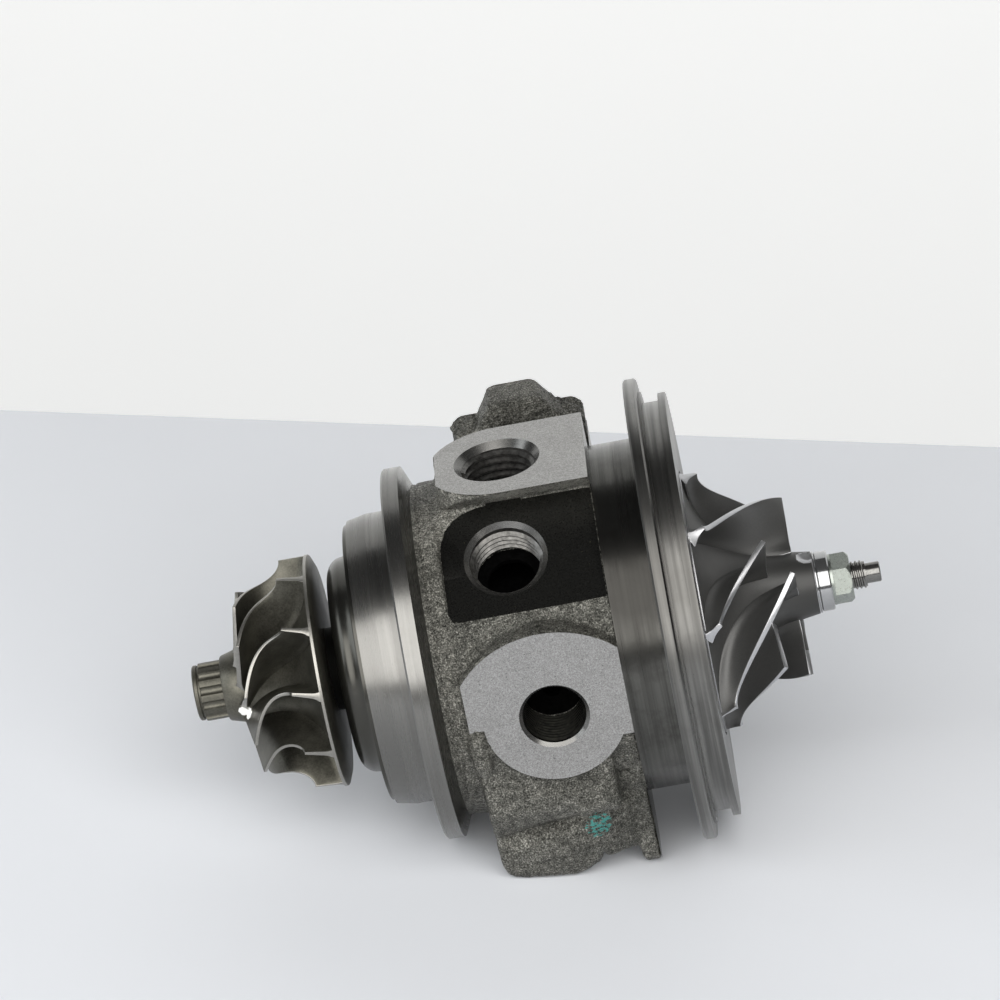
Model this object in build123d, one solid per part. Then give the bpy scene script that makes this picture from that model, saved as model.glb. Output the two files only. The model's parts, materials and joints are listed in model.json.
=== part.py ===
from build123d import *
from math import cos, pi, radians, sin
import os

# Turbocharger cartridge: a water-cooled bearing housing with its rotor.
# Millimetres. +X runs along the shaft from the turbine to the compressor, -Y looks out of the
# oil inlet, +Z is up as the cartridge lies. The origin is on the shaft at the turbine flange's face.

# Turbine side of the housing
pilot_radius = 28.2
pilot_length = 8.3
pilot_nose_radius = 27.5
pilot_taper_length = 3.7
vband_radius = 36.0
vband_width = 3.4
vband_cone_length = 1.7
neck_radius = 32.1
edge_break = 0.35

# Cast middle of the housing
casting_start = 9.4
casting_width = 30.2
barrel_radius = 33.0
cast_edge = 1.2
right_of_hole = 14.0

# Compressor side of the housing
drum_radius = 33.4
drum_length = 8.8
cover_flange_radius = 44.6
cover_flange_width = 2.45
cover_step_radius = 41.8
cover_step_width = 0.5
groove_radius = 39.6
groove_width = 3.2
rim_flange_radius = 41.0
rim_flange_width = 1.4

# Ports
inlet_plane = 33.2
inlet_hole_radius = 6.0
inlet_hole_depth = 10.8
inlet_chamfer = 0.65
inlet_pad_radius = 13.5
inlet_crown_radius = 20.2
inlet_crown_drop = 2.4
coolant_hole_radius = 7.0
coolant_chamfer = 0.95
top_port_chamfer = 1.25
coolant_wall = 1.1
coolant_drill_radius = 4.6
side_port_angle = 57.5
side_port_plane = 30.6
side_port_offset = 3.9
side_pad_down = 11.9
side_pad_up = 12.5
top_port_plane = 38.1
top_port_offset = 2.8
top_pad_radius = 13.4
top_pad_trim = 1.5
gallery_radius = 1.8
feed_radius = 1.1

# Oil drain flange on the far side
drain_plane = 34.0
drain_flange_thickness = 8.0
drain_flange_half_height = 31.5
drain_boss_reach = 36.8
drain_boss_half_width = 5.5
drain_hole_radius = 8.5
drain_hole_depth = 16.0
drain_cavity_radius = 7.6
drain_bolt_radius = 3.4
drain_bolt_spacing = 60.0
drain_corner_radius = 2.5

# Cast leg below the oil inlet
leg_depth = 40.2
leg_front = 31.2
leg_toe = 24.5
leg_back = 4.0
leg_width = 19.5
foot_width = 3.4
foot_set_back = 3.5
leg_corner_radius = 5.5
rest_gap = 0.25

# Coolant jacket inside
jacket_start = 13.9
jacket_length = 16.2
jacket_inner_radius = 15.0
jacket_outer_radius = 20.8
jacket_arc = 112.0
jacket_first_angle = 50.0
jacket_inlet_depth = 2.8

# Shaft and bearings
journal_radius = 4.0
waist_radius = 3.55
stub_radius = 3.0
thread_radius = 2.45
tail_radius = 1.95
bush_clearance = 0.03
bush_fit_clearance = 0.05
bush_wall = 2.5
bush_length = 9.0
bush_spacing = 20.6
first_bush_start = 0.6
clip_thickness = 0.9
clip_gap = 0.1
clip_depth = 0.55
clip_reach = 1.1
clip_opening_angle = 50.0
bush_port_radius = 0.9
turbine_hub_radius = 8.0
turbine_hub_length = 12.2
turbine_bore_clearance = 0.3
ring_width = 1.4
ring_side_gap = 0.05
ring_depth = 1.2
ring_bottom_gap = 0.15
ring_slot = 0.4
boss_radius = 17.0
boss_length = 3.6

# Thrust bearing group
thrust_ring_radius = 9.0
thrust_ring_length = 2.3
thrust_plate_radius = 16.0
thrust_plate_thickness = 3.5
thrust_gap = 0.05
thrust_bore_clearance = 0.08
thrust_groove_radius = 1.0
sleeve_hub_radius = 5.6
sleeve_flange_radius = 9.0
sleeve_flange_width = 2.1
sleeve_seal_radius = 7.0
seat_clearance = 0.05
pin_radius = 1.5
pin_length = 7.0
pin_circle_radius = 12.8
deflector_thickness = 0.9
deflector_radius = 18.0
deflector_hole_clearance = 0.6

# Seal plate behind the compressor wheel
seal_plate_radius = 22.0
seal_plate_thickness = 5.0
seal_skirt_wall = 2.6
seal_hub_radius = 11.0
seal_bore_clearance = 0.25
o_ring_section = 1.5
o_ring_squeeze = 0.15
o_ring_side_gap = 0.35
snap_ring_width = 1.5
snap_ring_depth = 1.3
snap_ring_reach = 2.6
snap_ring_gap = 0.05
snap_opening_angle = 28.0
snap_eye_radius = 2.6
snap_eye_hole = 0.9

# Heat shield
shield_thickness = 0.8
shield_flange_radius = 26.7
shield_dome_radius = 20.9
shield_dome_length = 4.7
shield_corner = 3.2
shield_hole_clearance = 1.0

# Turbine wheel
turbine_radius = 22.5
turbine_gap = 16.2
turbine_disc = 1.4
turbine_tip_height = 5.2
turbine_length = 14.3
exducer_radius = 17.8
turbine_hub_nose_radius = 7.1
turbine_hub_overhang = 2.3
turbine_blade_count = 11
turbine_first_blade = -16.6
turbine_tip_turn = 32.5
turbine_tip_power = 5.2
turbine_hub_turn = 57.0
turbine_hub_power = 6.4
turbine_inlet_lean = 3.5
turbine_tip_thickness = 0.65
turbine_root_thickness = 1.5
blade_rim_gap = 0.12
nose_collar_radius = 6.3
nose_collar_length = 3.0
flute_radius = 5.65
flute_length = 4.4
flute_count = 12
flute_cut_radius = 0.75
nose_flange_radius = 5.35
nose_flange_length = 0.9
nose_neck_radius = 4.9
nose_neck_length = 0.35

# Compressor wheel
compressor_radius = 25.1
compressor_back_gap = 0.3
compressor_disc = 0.8
compressor_exit_width = 2.9
compressor_length = 17.8
inducer_radius = 17.3
compressor_hub_radius = 6.6
compressor_nose_radius = 6.0
compressor_nose_length = 4.0
full_blade_count = 4
compressor_first_blade = -37.5
compressor_tip_turn = 64.5
compressor_tip_power = 1.9
compressor_hub_turn = 60.0
compressor_inlet_lean = 10.0
splitter_start = 0.19
compressor_tip_thickness = 0.65
compressor_root_thickness = 1.3
wheel_recess_clearance = 0.6
wheel_recess_depth = 0.9

# Nose stack
shim_thickness = 0.3
shim_radius = 5.95
collar_radius = 5.75
collar_length = 2.5
collar_chamfer = 0.25
nut_across_flats = 8.5
nut_length = 4.0
nut_washer_radius = 4.9
nut_washer_length = 0.5
thread_length = 2.8
tail_length = 2.8

# Places along the shaft that follow from the sizes above
casting_end = casting_start + casting_width
cover_flange_start = casting_end + drum_length
cover_face = cover_flange_start + cover_flange_width
groove_start = cover_face + cover_step_width
rim_flange_start = groove_start + groove_width
housing_end = rim_flange_start + rim_flange_width
port_center = casting_end - right_of_hole
side_port_center = port_center - side_port_offset
top_port_center = port_center - top_port_offset
drain_center = port_center + 1.0

bush_bore_radius = journal_radius + bush_clearance + bush_wall + bush_fit_clearance
bush_radius = journal_radius + bush_clearance + bush_wall
second_bush_start = first_bush_start + bush_spacing
bearing_bore_end = second_bush_start + bush_length + clip_gap + clip_thickness + clip_gap + 0.9
thrust_ring_start = bearing_bore_end + clip_gap
thrust_ring_end = thrust_ring_start + thrust_ring_length
thrust_plate_start = thrust_ring_end + thrust_gap
thrust_plate_end = thrust_plate_start + thrust_plate_thickness
sleeve_flange_start = thrust_plate_end + thrust_gap
sleeve_flange_end = sleeve_flange_start + sleeve_flange_width
deflector_start = sleeve_flange_end + deflector_hole_clearance
deflector_end = deflector_start + deflector_thickness
wheel_recess_floor = housing_end - wheel_recess_depth
compressor_back = wheel_recess_floor + compressor_back_gap
snap_ring_end = wheel_recess_floor - 0.8
snap_ring_start = snap_ring_end - snap_ring_width
seal_plate_end = snap_ring_start - snap_ring_gap
seal_plate_start = seal_plate_end - seal_plate_thickness
seal_pocket_radius = seal_plate_radius + seat_clearance
deflector_seat_radius = deflector_radius + seat_clearance
thrust_seat_radius = thrust_plate_radius + seat_clearance
thrust_ring_room = thrust_ring_radius + 1.2

compressor_exit = compressor_back + compressor_disc + compressor_exit_width
compressor_inlet = compressor_back + compressor_length + compressor_disc
compressor_nose_end = compressor_inlet + compressor_nose_length
collar_start = compressor_nose_end + shim_thickness
nut_start = collar_start + collar_length
nut_end = nut_start + nut_length
thread_end = nut_end + thread_length
shaft_end = thread_end + tail_length

turbine_back = -turbine_gap
turbine_rim = turbine_back - turbine_disc
exducer_tip = turbine_rim - turbine_length
turbine_nose = exducer_tip - turbine_hub_overhang
shield_back = -pilot_length
shield_front = shield_back - shield_dome_length - shield_thickness
first_journal_start = turbine_back + turbine_hub_length
turbine_ring_start = first_journal_start - 4.4

rest_slope = (cover_flange_radius - vband_radius) / cover_flange_start


def turned(*points, turn=360.0):
    """Solid of revolution about the shaft from (x, radius) corners."""
    outline = make_face(Polyline(*[(x, r) for x, r in points], close=True))
    return revolve(outline, axis=Axis.X, revolution_arc=turn)


def closed(*pieces):
    """Face inside a closed run of lines and curves."""
    return make_face(Curve() + list(pieces))


def rod(start, end, radius):
    """Cylinder along the shaft."""
    return Plane.YZ.offset(start) * extrude_disc(radius, end - start)


def extrude_disc(radius, length):
    return extrude(Circle(radius), amount=length)


def facing(x, y, z, normal):
    """Plane on a port face: its normal points out of the port, its x runs along the shaft."""
    return Plane(origin=(x, y, z), x_dir=(1, 0, 0), z_dir=normal)


def port_drill(plane, radius, depth, chamfer_size):
    """Blind hole with a chamfered mouth, to cut from a port face."""
    hole = plane * extrude_disc(radius, -depth)
    mouth = plane.offset(-chamfer_size) * Cone(
        radius, radius + 2 * chamfer_size, 2 * chamfer_size,
        align=(Align.CENTER, Align.CENTER, Align.MIN))
    return hole + mouth


def ring_cut(start, width, radius, reach):
    """Annular groove cut into a bore or left round a shaft."""
    return rod(start, start + width, radius + reach) - rod(start - 1, start + width + 1, radius)


def open_ring(start, width, inner, outer, opening, at=0.0):
    """Flat C-ring round the shaft with its opening centred at an angle from +Y."""
    ring = rod(start, start + width, outer) - rod(start - 1, start + width + 1, inner)
    half = radians(opening / 2)
    reach = 2 * outer
    wedge = Polygon((0, 0), (reach, -reach * sin(half) / cos(half)),
                    (reach, reach * sin(half) / cos(half)), align=None)
    cut = Plane.YZ.offset(start - 1) * extrude(wedge, amount=width + 2)
    return ring - cut.rotate(Axis.X, at)


def quarter_contour(u, start, end, inlet_radius, exit_radius):
    """Point (x, radius) on a quarter ellipse that starts radial and ends axial."""
    phi = u * pi / 2
    x = end + (start - end) * cos(phi)
    return x, inlet_radius - (inlet_radius - exit_radius) * sin(phi)


def hub_curve_between(rim, nose, rim_radius, nose_radius):
    """The same quarter ellipse as one smooth curve, from the rim to the nose."""
    pull = 0.5523
    return Bezier((rim, rim_radius), (rim, rim_radius - pull * (rim_radius - nose_radius)),
                  (nose - pull * (nose - rim), nose_radius), (nose, nose_radius))


def on_wheel(x, radius, angle):
    """Point at an angle that turns from -Y towards -Z."""
    a = radians(angle)
    return Vector(x, -radius * cos(a), -radius * sin(a))


def blade(hub_line, tip_line, first, root_thickness, tip_thickness, root_sink=0.06, steps=5):
    """One blade between a hub line and a tip line, thickened to both sides of its middle."""
    sides = {"root_a": [], "root_b": [], "tip_a": [], "tip_b": []}
    small = 0.01
    for i in range(steps):
        u = first + (1 - first) * i / (steps - 1)
        before, after = max(first, u - small), min(1.0, u + small)
        hub, tip = hub_line(u), tip_line(u)
        span = tip - hub
        hub_normal = (hub_line(after) - hub_line(before)).cross(span).normalized()
        tip_normal = (tip_line(after) - tip_line(before)).cross(span).normalized()
        root = hub - span * root_sink
        sides["root_a"].append(root + hub_normal * root_thickness / 2)
        sides["root_b"].append(root - hub_normal * root_thickness / 2)
        sides["tip_a"].append(tip + tip_normal * tip_thickness / 2)
        sides["tip_b"].append(tip - tip_normal * tip_thickness / 2)
    root_a, root_b = Spline(*sides["root_a"]), Spline(*sides["root_b"])
    tip_a, tip_b = Spline(*sides["tip_a"]), Spline(*sides["tip_b"])
    faces = [
        Face.make_surface_from_curves(root_a, tip_a),
        Face.make_surface_from_curves(root_b, tip_b),
        Face.make_surface_from_curves(root_a, root_b),
        Face.make_surface_from_curves(tip_a, tip_b),
    ]
    for end in (0, 1):
        edge_a = Line(root_a @ end, tip_a @ end)
        edge_b = Line(root_b @ end, tip_b @ end)
        faces.append(Face.make_surface_from_curves(edge_a, edge_b))
    solid = Solid(Shell(faces))
    return solid if solid.volume > 0 else -solid


def housing_blank():
    """Outside of the housing as one turned form: pilot, clamp flange, barrel, cover flanges."""
    return turned(
        (shield_back, 0), (shield_back, pilot_nose_radius),
        (shield_back + pilot_taper_length, pilot_radius), (0, pilot_radius),
        (0, vband_radius - edge_break), (edge_break, vband_radius),
        (vband_width, vband_radius), (vband_width + vband_cone_length, neck_radius),
        (casting_start, neck_radius), (casting_start + cast_edge, barrel_radius),
        (casting_end, barrel_radius), (casting_end, drum_radius),
        (cover_flange_start, drum_radius),
        (cover_flange_start, cover_flange_radius - edge_break),
        (cover_flange_start + edge_break, cover_flange_radius),
        (cover_face - edge_break, cover_flange_radius),
        (cover_face, cover_flange_radius - edge_break),
        (cover_face, cover_step_radius), (groove_start, cover_step_radius),
        (groove_start, groove_radius), (rim_flange_start, groove_radius),
        (rim_flange_start, rim_flange_radius), (housing_end, rim_flange_radius),
        (housing_end, 0))


def shaft_boss():
    """Boss under the heat shield that carries the turbine-side seal."""
    return rod(shield_back - boss_length, shield_back + 1, boss_radius)


def rest_drop(x):
    """How far below the shaft the surface lies that both round flanges stand on."""
    return vband_radius + rest_slope * (x - edge_break)


def above_rest(shape, start, end):
    """Trim a cast foot to stay just above the surface that the flanges stand on."""
    deep = 2 * cover_flange_radius
    under = make_face(Polyline((start, rest_gap - rest_drop(start)), (end, rest_gap - rest_drop(end)),
                               (end, -deep), (start, -deep), close=True))
    return shape - extrude(Plane.XZ * under, amount=deep, both=True)


def inlet_boss():
    """Oil inlet pad: a round lower half and a wider crowned top."""
    pad = Pos(port_center, 0) * Circle(inlet_pad_radius)
    crown = Pos(port_center, -inlet_crown_drop) * Circle(inlet_crown_radius)
    band_height = inlet_crown_radius
    band = Pos(casting_start + casting_width / 2, band_height / 2 - 0.5) * Rectangle(
        casting_width, band_height)
    ear = Pos(casting_end - 2.0, -3.2) * Rectangle(4.0, 6.4)
    outline = pad + (crown & band) + ear
    return Plane.XZ * extrude(outline, amount=inlet_plane)


def top_boss():
    """Coolant pad on top: a round end that runs straight to the machined right face."""
    disc = Pos(top_port_center, 0) * Circle(top_pad_radius)
    length = casting_end - top_port_center
    bar = Pos(top_port_center + length / 2, 0) * Rectangle(length, 2 * top_pad_radius)
    limit = Pos((casting_start + top_pad_trim + casting_end) / 2, 0) * Rectangle(
        casting_width - top_pad_trim, 3 * top_pad_radius)
    return extrude((disc + bar) & limit, amount=top_port_plane)


def drain_flange():
    """Oil drain flange: a plate on a trunk, with a bolt boss above and below."""
    width = 2 * (casting_end - drain_center) - 0.4
    plate = Pos(drain_center, 0) * RectangleRounded(
        width, 2 * drain_flange_half_height, drain_corner_radius)
    drop = rest_drop(drain_center - drain_boss_half_width) - rest_gap
    boss = Pos(drain_center, (drain_boss_reach - drop) / 2) * RectangleRounded(
        2 * drain_boss_half_width, drain_boss_reach + drop, drain_corner_radius)
    flange = Plane.XZ.offset(-drain_plane) * extrude(plate + boss, amount=drain_flange_thickness)
    trunk_radius = drain_hole_radius + 4.5
    trunk = Pos(drain_center, 0) * Rectangle(2 * trunk_radius, 2 * barrel_radius * 0.78)
    return flange + Plane.XZ.offset(-drain_plane) * extrude(trunk, amount=drain_plane)


def leg_outline(front, toe, drop):
    """Outline of the leg seen along the shaft: a bulge at the front and a toe below it."""
    return closed(
        Polyline((0, 0), (-front, -8), (-front, -17)),
        Spline((-front, -17), (-front + 1.8, -24.5), (-toe - 1.6, -drop + 6.0),
               (-toe + 1.4, -drop), tangents=[(0, -1), (1, 0)]),
        Polyline((-toe + 1.4, -drop), (-leg_back - 8, -drop), (-leg_back, -barrel_radius + 2),
                 (0, 0)))


def leg():
    """Cast leg below the oil inlet, with its narrow foot beside the machined face."""
    start, end = casting_start + 0.2, casting_start + leg_width
    body = Plane.YZ.offset(start) * extrude(leg_outline(leg_front, leg_toe, leg_depth),
                                            amount=end - start)
    body -= leg_corner(start, end)
    set_front, set_toe = leg_front - foot_set_back, leg_toe - foot_set_back
    foot_drop = rest_drop(casting_end - foot_width) - rest_gap
    foot = Plane.YZ.offset(casting_end - foot_width) * extrude(
        leg_outline(set_front, set_toe, foot_drop), amount=foot_width)
    web_start = end - 1
    web = Plane.YZ.offset(web_start) * extrude(
        leg_outline(set_front, set_toe, leg_depth - 2.6),
        amount=casting_end - foot_width - web_start)
    return above_rest(body + foot + web, casting_start - 1, casting_end + 1)


def leg_corner(start, end):
    """Space outside the leg's rounded lower corners, seen from the front."""
    low = -leg_depth - 1
    left = closed(
        ThreePointArc((start, -leg_depth + leg_corner_radius + 2),
                      (start + leg_corner_radius * 0.25, -leg_depth + leg_corner_radius * 0.35 + 1),
                      (start + leg_corner_radius, -leg_depth)),
        Polyline((start + leg_corner_radius, -leg_depth), (start + leg_corner_radius, low),
                 (start - 1, low), (start - 1, -leg_depth + leg_corner_radius + 2),
                 (start, -leg_depth + leg_corner_radius + 2)))
    return extrude(Plane.XZ * left, amount=2 * barrel_radius)


def side_pad_cut():
    """Space above the sloping coolant pad, up to the overhanging wall under the top pad."""
    a = radians(side_port_angle)
    center = (-side_port_plane * cos(a), side_port_plane * sin(a))
    down = (-sin(a), -cos(a))
    low = (center[0] + side_pad_down * down[0], center[1] + side_pad_down * down[1])
    high = (center[0] - side_pad_up * down[0], center[1] - side_pad_up * down[1])
    lip = (-top_pad_radius, top_port_plane)
    far = (lip[0] + 2 * (lip[0] - high[0]), lip[1] + 2 * (lip[1] - high[1]))
    outline = make_face(Polyline(low, high, lip, far, (low[0] - 12, far[1]), close=True))
    return Plane.YZ.offset(casting_start - 0.01) * extrude(outline, amount=casting_width + 0.02)


def coolant_jacket():
    """Part ring of coolant above the bearings that both coolant ports open into."""
    ring = turned(
        (jacket_start, jacket_inner_radius), (jacket_start, jacket_outer_radius),
        (jacket_start + jacket_length, jacket_outer_radius),
        (jacket_start + jacket_length, jacket_inner_radius), turn=jacket_arc)
    return ring.rotate(Axis.X, jacket_first_angle)


def stepped_bore():
    """Bores along the shaft as one turned form, from the turbine seal to the wheel recess."""
    seal_end = first_journal_start + 1.2
    seal_radius = turbine_hub_radius + turbine_bore_clearance
    groove_radius = bush_bore_radius + clip_depth
    steps = [(shield_back - boss_length - 1, 0), (shield_back - boss_length - 1, seal_radius),
             (seal_end, seal_radius), (seal_end, bush_bore_radius)]
    for start in sorted(clip_places()):
        low, high = start - clip_gap / 2, start + clip_thickness + clip_gap / 2
        steps += [(low, bush_bore_radius), (low, groove_radius), (high, groove_radius),
                  (high, bush_bore_radius)]
    snap_low, snap_high = snap_ring_start - snap_ring_gap, snap_ring_end + snap_ring_gap
    snap_radius = seal_pocket_radius + snap_ring_depth
    wheel_room = compressor_radius + wheel_recess_clearance
    steps += [
        (bearing_bore_end, bush_bore_radius), (bearing_bore_end, thrust_ring_room),
        (thrust_plate_start, thrust_ring_room), (thrust_plate_start, thrust_seat_radius),
        (deflector_start, thrust_seat_radius), (deflector_start, deflector_seat_radius),
        (seal_plate_start, deflector_seat_radius), (seal_plate_start, seal_pocket_radius),
        (snap_low, seal_pocket_radius), (snap_low, snap_radius), (snap_high, snap_radius),
        (snap_high, seal_pocket_radius), (wheel_recess_floor, seal_pocket_radius),
        (wheel_recess_floor, wheel_room), (housing_end + 1, wheel_room), (housing_end + 1, 0)]
    return turned(*steps)


def bearing_housing():
    """Cast and machined housing with its ports, bores, grooves and drain."""
    body = housing_blank() + shaft_boss() + inlet_boss() + top_boss() + drain_flange() + leg()
    body -= side_pad_cut()

    body -= stepped_bore()

    # Oil and coolant ports
    inlet = facing(port_center, -inlet_plane, 0, (0, -1, 0))
    body -= port_drill(inlet, inlet_hole_radius, inlet_hole_depth, inlet_chamfer)
    body -= inlet * extrude_disc(gallery_radius, -(inlet_plane - bush_bore_radius - 4.0))
    meeting = Vector(port_center, -bush_bore_radius - 5.2, 0)
    for start in (first_bush_start, second_bush_start):
        target = Vector(start + bush_length / 2, -bush_bore_radius + 0.8, 0)
        body -= slanted_drill(meeting, target, feed_radius)
    drill_end = jacket_outer_radius - jacket_inlet_depth
    side = side_port_plane_at()
    body -= port_drill(side, coolant_hole_radius, side_port_plane - side_port_floor(),
                       coolant_chamfer)
    body -= side * extrude_disc(coolant_drill_radius, drill_end - side_port_plane)
    top = facing(top_port_center, 0, top_port_plane, (0, 0, 1))
    body -= port_drill(top, coolant_hole_radius, top_port_plane - top_port_floor(),
                       top_port_chamfer)
    body -= top * extrude_disc(coolant_drill_radius, drill_end - top_port_plane)
    body -= coolant_jacket()

    # Oil drain and its two bolt holes
    drain = facing(drain_center, drain_plane, 0, (0, 1, 0))
    body -= drain * extrude_disc(drain_hole_radius, -drain_hole_depth)
    body -= drain * extrude_disc(drain_cavity_radius, -(drain_plane - 1.0))
    for side in (-1, 1):
        spot = facing(drain_center, drain_plane, side * drain_bolt_spacing / 2, (0, 1, 0))
        body -= spot * extrude_disc(drain_bolt_radius, -drain_flange_thickness - 1)
    for y, z in pin_places():
        hole = Plane.YZ.offset(thrust_plate_start - pin_length / 2)
        body -= hole * Pos(y, z) * extrude_disc(pin_radius, pin_length)
    return body


def side_port_plane_at():
    a = radians(side_port_angle)
    y, z = -side_port_plane * cos(a), side_port_plane * sin(a)
    return facing(side_port_center, y, z, (0, -cos(a), sin(a)))


def side_port_floor():
    """Height of the side port's floor, where it still clears the drilling of the top port."""
    between = radians(90 - side_port_angle)
    wide = coolant_hole_radius * cos(between) + coolant_drill_radius + coolant_wall
    return wide / sin(between)


def top_port_floor():
    """Height of the top port's floor, where it still clears the side port."""
    between = radians(90 - side_port_angle)
    wide = coolant_hole_radius * (1 + cos(between)) + coolant_wall
    return wide / sin(between)


def slanted_drill(start, end, radius):
    """Oil drilling between two points."""
    along = end - start
    plane = Plane(origin=start, z_dir=along)
    return plane * extrude_disc(radius, along.length)


def clip_places():
    """Starts of the four rings that hold the bushes along the shaft."""
    places = []
    for start in (first_bush_start, second_bush_start):
        places.append(start - clip_gap - clip_thickness)
        places.append(start + bush_length + clip_gap)
    return places


def pin_places():
    return [(pin_circle_radius * cos(radians(a)), pin_circle_radius * sin(radians(a)))
            for a in (60, 200)]


def bush_retaining_rings():
    """Four C-rings in the bearing bore."""
    inner = bush_bore_radius - clip_reach
    outer = bush_bore_radius + clip_depth - 0.03
    rings = [open_ring(s, clip_thickness, inner, outer, clip_opening_angle, at=90)
             for s in clip_places()]
    return Compound(children=rings)


def floating_bush(start):
    """Floating bearing bush with a ring of oil holes and chamfered ends."""
    bore = journal_radius + bush_clearance
    end = start + bush_length
    bush = turned((start, bore), (start, bush_radius - edge_break), (start + edge_break, bush_radius),
                  (end - edge_break, bush_radius), (end, bush_radius - edge_break), (end, bore))
    across = Plane.XY.offset(-bush_radius - 1)
    hole = across * Pos(start + bush_length / 2, 0) * extrude_disc(
        bush_port_radius, 2 * bush_radius + 2)
    for i in range(2):
        bush -= hole.rotate(Axis.X, 90.0 * i)
    return bush


def thrust_bearing():
    """Fixed thrust plate with oil grooves on its loaded face and two pin holes."""
    bore = sleeve_hub_radius + thrust_bore_clearance
    plate = rod(thrust_plate_start, thrust_plate_end, thrust_plate_radius)
    plate -= rod(thrust_plate_start - 1, thrust_plate_end + 1, bore)
    slot = Plane.YZ.offset(thrust_plate_start - 1) * Pos(0, -thrust_plate_radius) * extrude(
        Rectangle(9.0, 9.0), amount=thrust_plate_thickness + 2)
    plate -= slot
    groove = Plane.XY * Pos(thrust_plate_end, 0) * extrude_disc(thrust_groove_radius, bore + 4.2)
    for i in range(3):
        plate -= groove.rotate(Axis.X, 120.0 * i + 30)
    for y, z in pin_places():
        plate -= Plane.YZ.offset(thrust_plate_start - 1) * Pos(y, z) * extrude_disc(
            pin_radius, thrust_plate_thickness + 2)
    return plate


def thrust_bearing_pins():
    """Two dowels that stop the thrust plate from turning."""
    start = thrust_plate_start - pin_length / 2
    pins = [Plane.YZ.offset(start) * Pos(y, z) * extrude_disc(pin_radius, pin_length - 0.4)
            for y, z in pin_places()]
    return Compound(children=pins)


def oil_deflector():
    """Sheet plate that turns the oil down to the drain, with a folded tongue."""
    hole = sleeve_seal_radius + deflector_hole_clearance
    plate = rod(deflector_start, deflector_end, deflector_radius)
    plate -= rod(deflector_start - 1, deflector_end + 1, hole)
    window = Plane.YZ.offset(deflector_start - 1) * Pos(0, -deflector_radius + 3) * extrude(
        Rectangle(14.0, 6.0), amount=deflector_thickness + 2)
    return plate - window


def seal_plate():
    """Plate that closes the bearing cavity behind the compressor wheel."""
    bore = sleeve_seal_radius + seal_bore_clearance
    face = seal_plate_end
    groove_bottom = seal_plate_radius - o_ring_section + o_ring_squeeze
    groove_half = (o_ring_section + o_ring_side_gap) / 2
    middle = (seal_plate_start + seal_plate_end) / 2
    skirt_outer = deflector_radius
    skirt_inner = deflector_radius - seal_skirt_wall
    hub_end = compressor_back - 1.2
    return turned(
        (seal_plate_start - 1.2, bore), (hub_end, bore), (hub_end, seal_hub_radius - 1.0),
        (face, seal_hub_radius + 2.0), (face, seal_plate_radius),
        (middle + groove_half, seal_plate_radius), (middle + groove_half, groove_bottom),
        (middle - groove_half, groove_bottom), (middle - groove_half, seal_plate_radius),
        (seal_plate_start, seal_plate_radius), (seal_plate_start, skirt_outer),
        (deflector_end, skirt_outer), (deflector_end, skirt_inner),
        (seal_plate_start, skirt_inner), (seal_plate_start, seal_hub_radius),
        (seal_plate_start - 1.2, seal_hub_radius - 1.0))


def seal_plate_o_ring():
    """O-ring in the seal plate's groove."""
    middle = (seal_plate_start + seal_plate_end) / 2
    outer = seal_pocket_radius - 0.02
    inner = seal_plate_radius - o_ring_section + o_ring_squeeze + 0.02
    half = o_ring_section / 2
    corner = 0.45
    return turned(
        (middle - half, inner + corner), (middle - half + corner, inner),
        (middle + half - corner, inner), (middle + half, inner + corner),
        (middle + half, outer - corner), (middle + half - corner, outer),
        (middle - half + corner, outer), (middle - half, outer - corner))


def seal_plate_snap_ring():
    """Snap ring that holds the seal plate, with its two plier eyes."""
    outer = seal_pocket_radius + snap_ring_depth - snap_ring_gap
    inner = seal_pocket_radius - snap_ring_reach
    ring = open_ring(snap_ring_start, snap_ring_width, inner, outer, snap_opening_angle, at=90)
    for side in (-1, 1):
        a = radians(90 + side * (snap_opening_angle / 2 + 7.5))
        spot = Pos(0, (inner - 0.4) * cos(a), (inner - 0.4) * sin(a))
        ring += spot * rod(snap_ring_start, snap_ring_end, snap_eye_radius)
        ring -= spot * rod(snap_ring_start - 1, snap_ring_end + 1, snap_eye_hole)
    return ring


def piston_ring(start, width, bore, hub_radius, at):
    """Slotted seal ring sprung into a bore and standing in a shaft groove."""
    outer = bore
    inner = hub_radius - ring_depth + ring_bottom_gap
    opening = 2 * ring_slot / outer * 180 / pi
    return open_ring(start + ring_side_gap, width - 2 * ring_side_gap, inner, outer, opening, at)


def heat_shield():
    """Dished sheet between the turbine wheel and the housing, with a rounded shoulder."""
    front, back, t = shield_front, shield_back, shield_thickness
    hole = turbine_hub_radius + shield_hole_clearance
    bend_x = front + shield_corner
    bend_r = shield_dome_radius - shield_corner
    lean = 0.7
    slope = lean / 2
    inner_corner = shield_corner - t
    diagonal = sin(pi / 4)
    section = closed(
        Line((front, hole), (front, bend_r)),
        ThreePointArc((front, bend_r),
                      (bend_x - shield_corner * diagonal, bend_r + shield_corner * diagonal),
                      (bend_x, shield_dome_radius)),
        Polyline((bend_x, shield_dome_radius), (back - t, shield_dome_radius + lean),
                 (back - t, shield_flange_radius), (back, shield_flange_radius),
                 (back, shield_dome_radius + slope - t + 0.4), (bend_x, shield_dome_radius - t)),
        Polyline((bend_x, shield_dome_radius - t),
                 (bend_x - inner_corner * diagonal, bend_r + inner_corner * diagonal),
                 (front + t, bend_r), (front + t, hole), (front, hole)))
    return revolve(section, axis=Axis.X)


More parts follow.
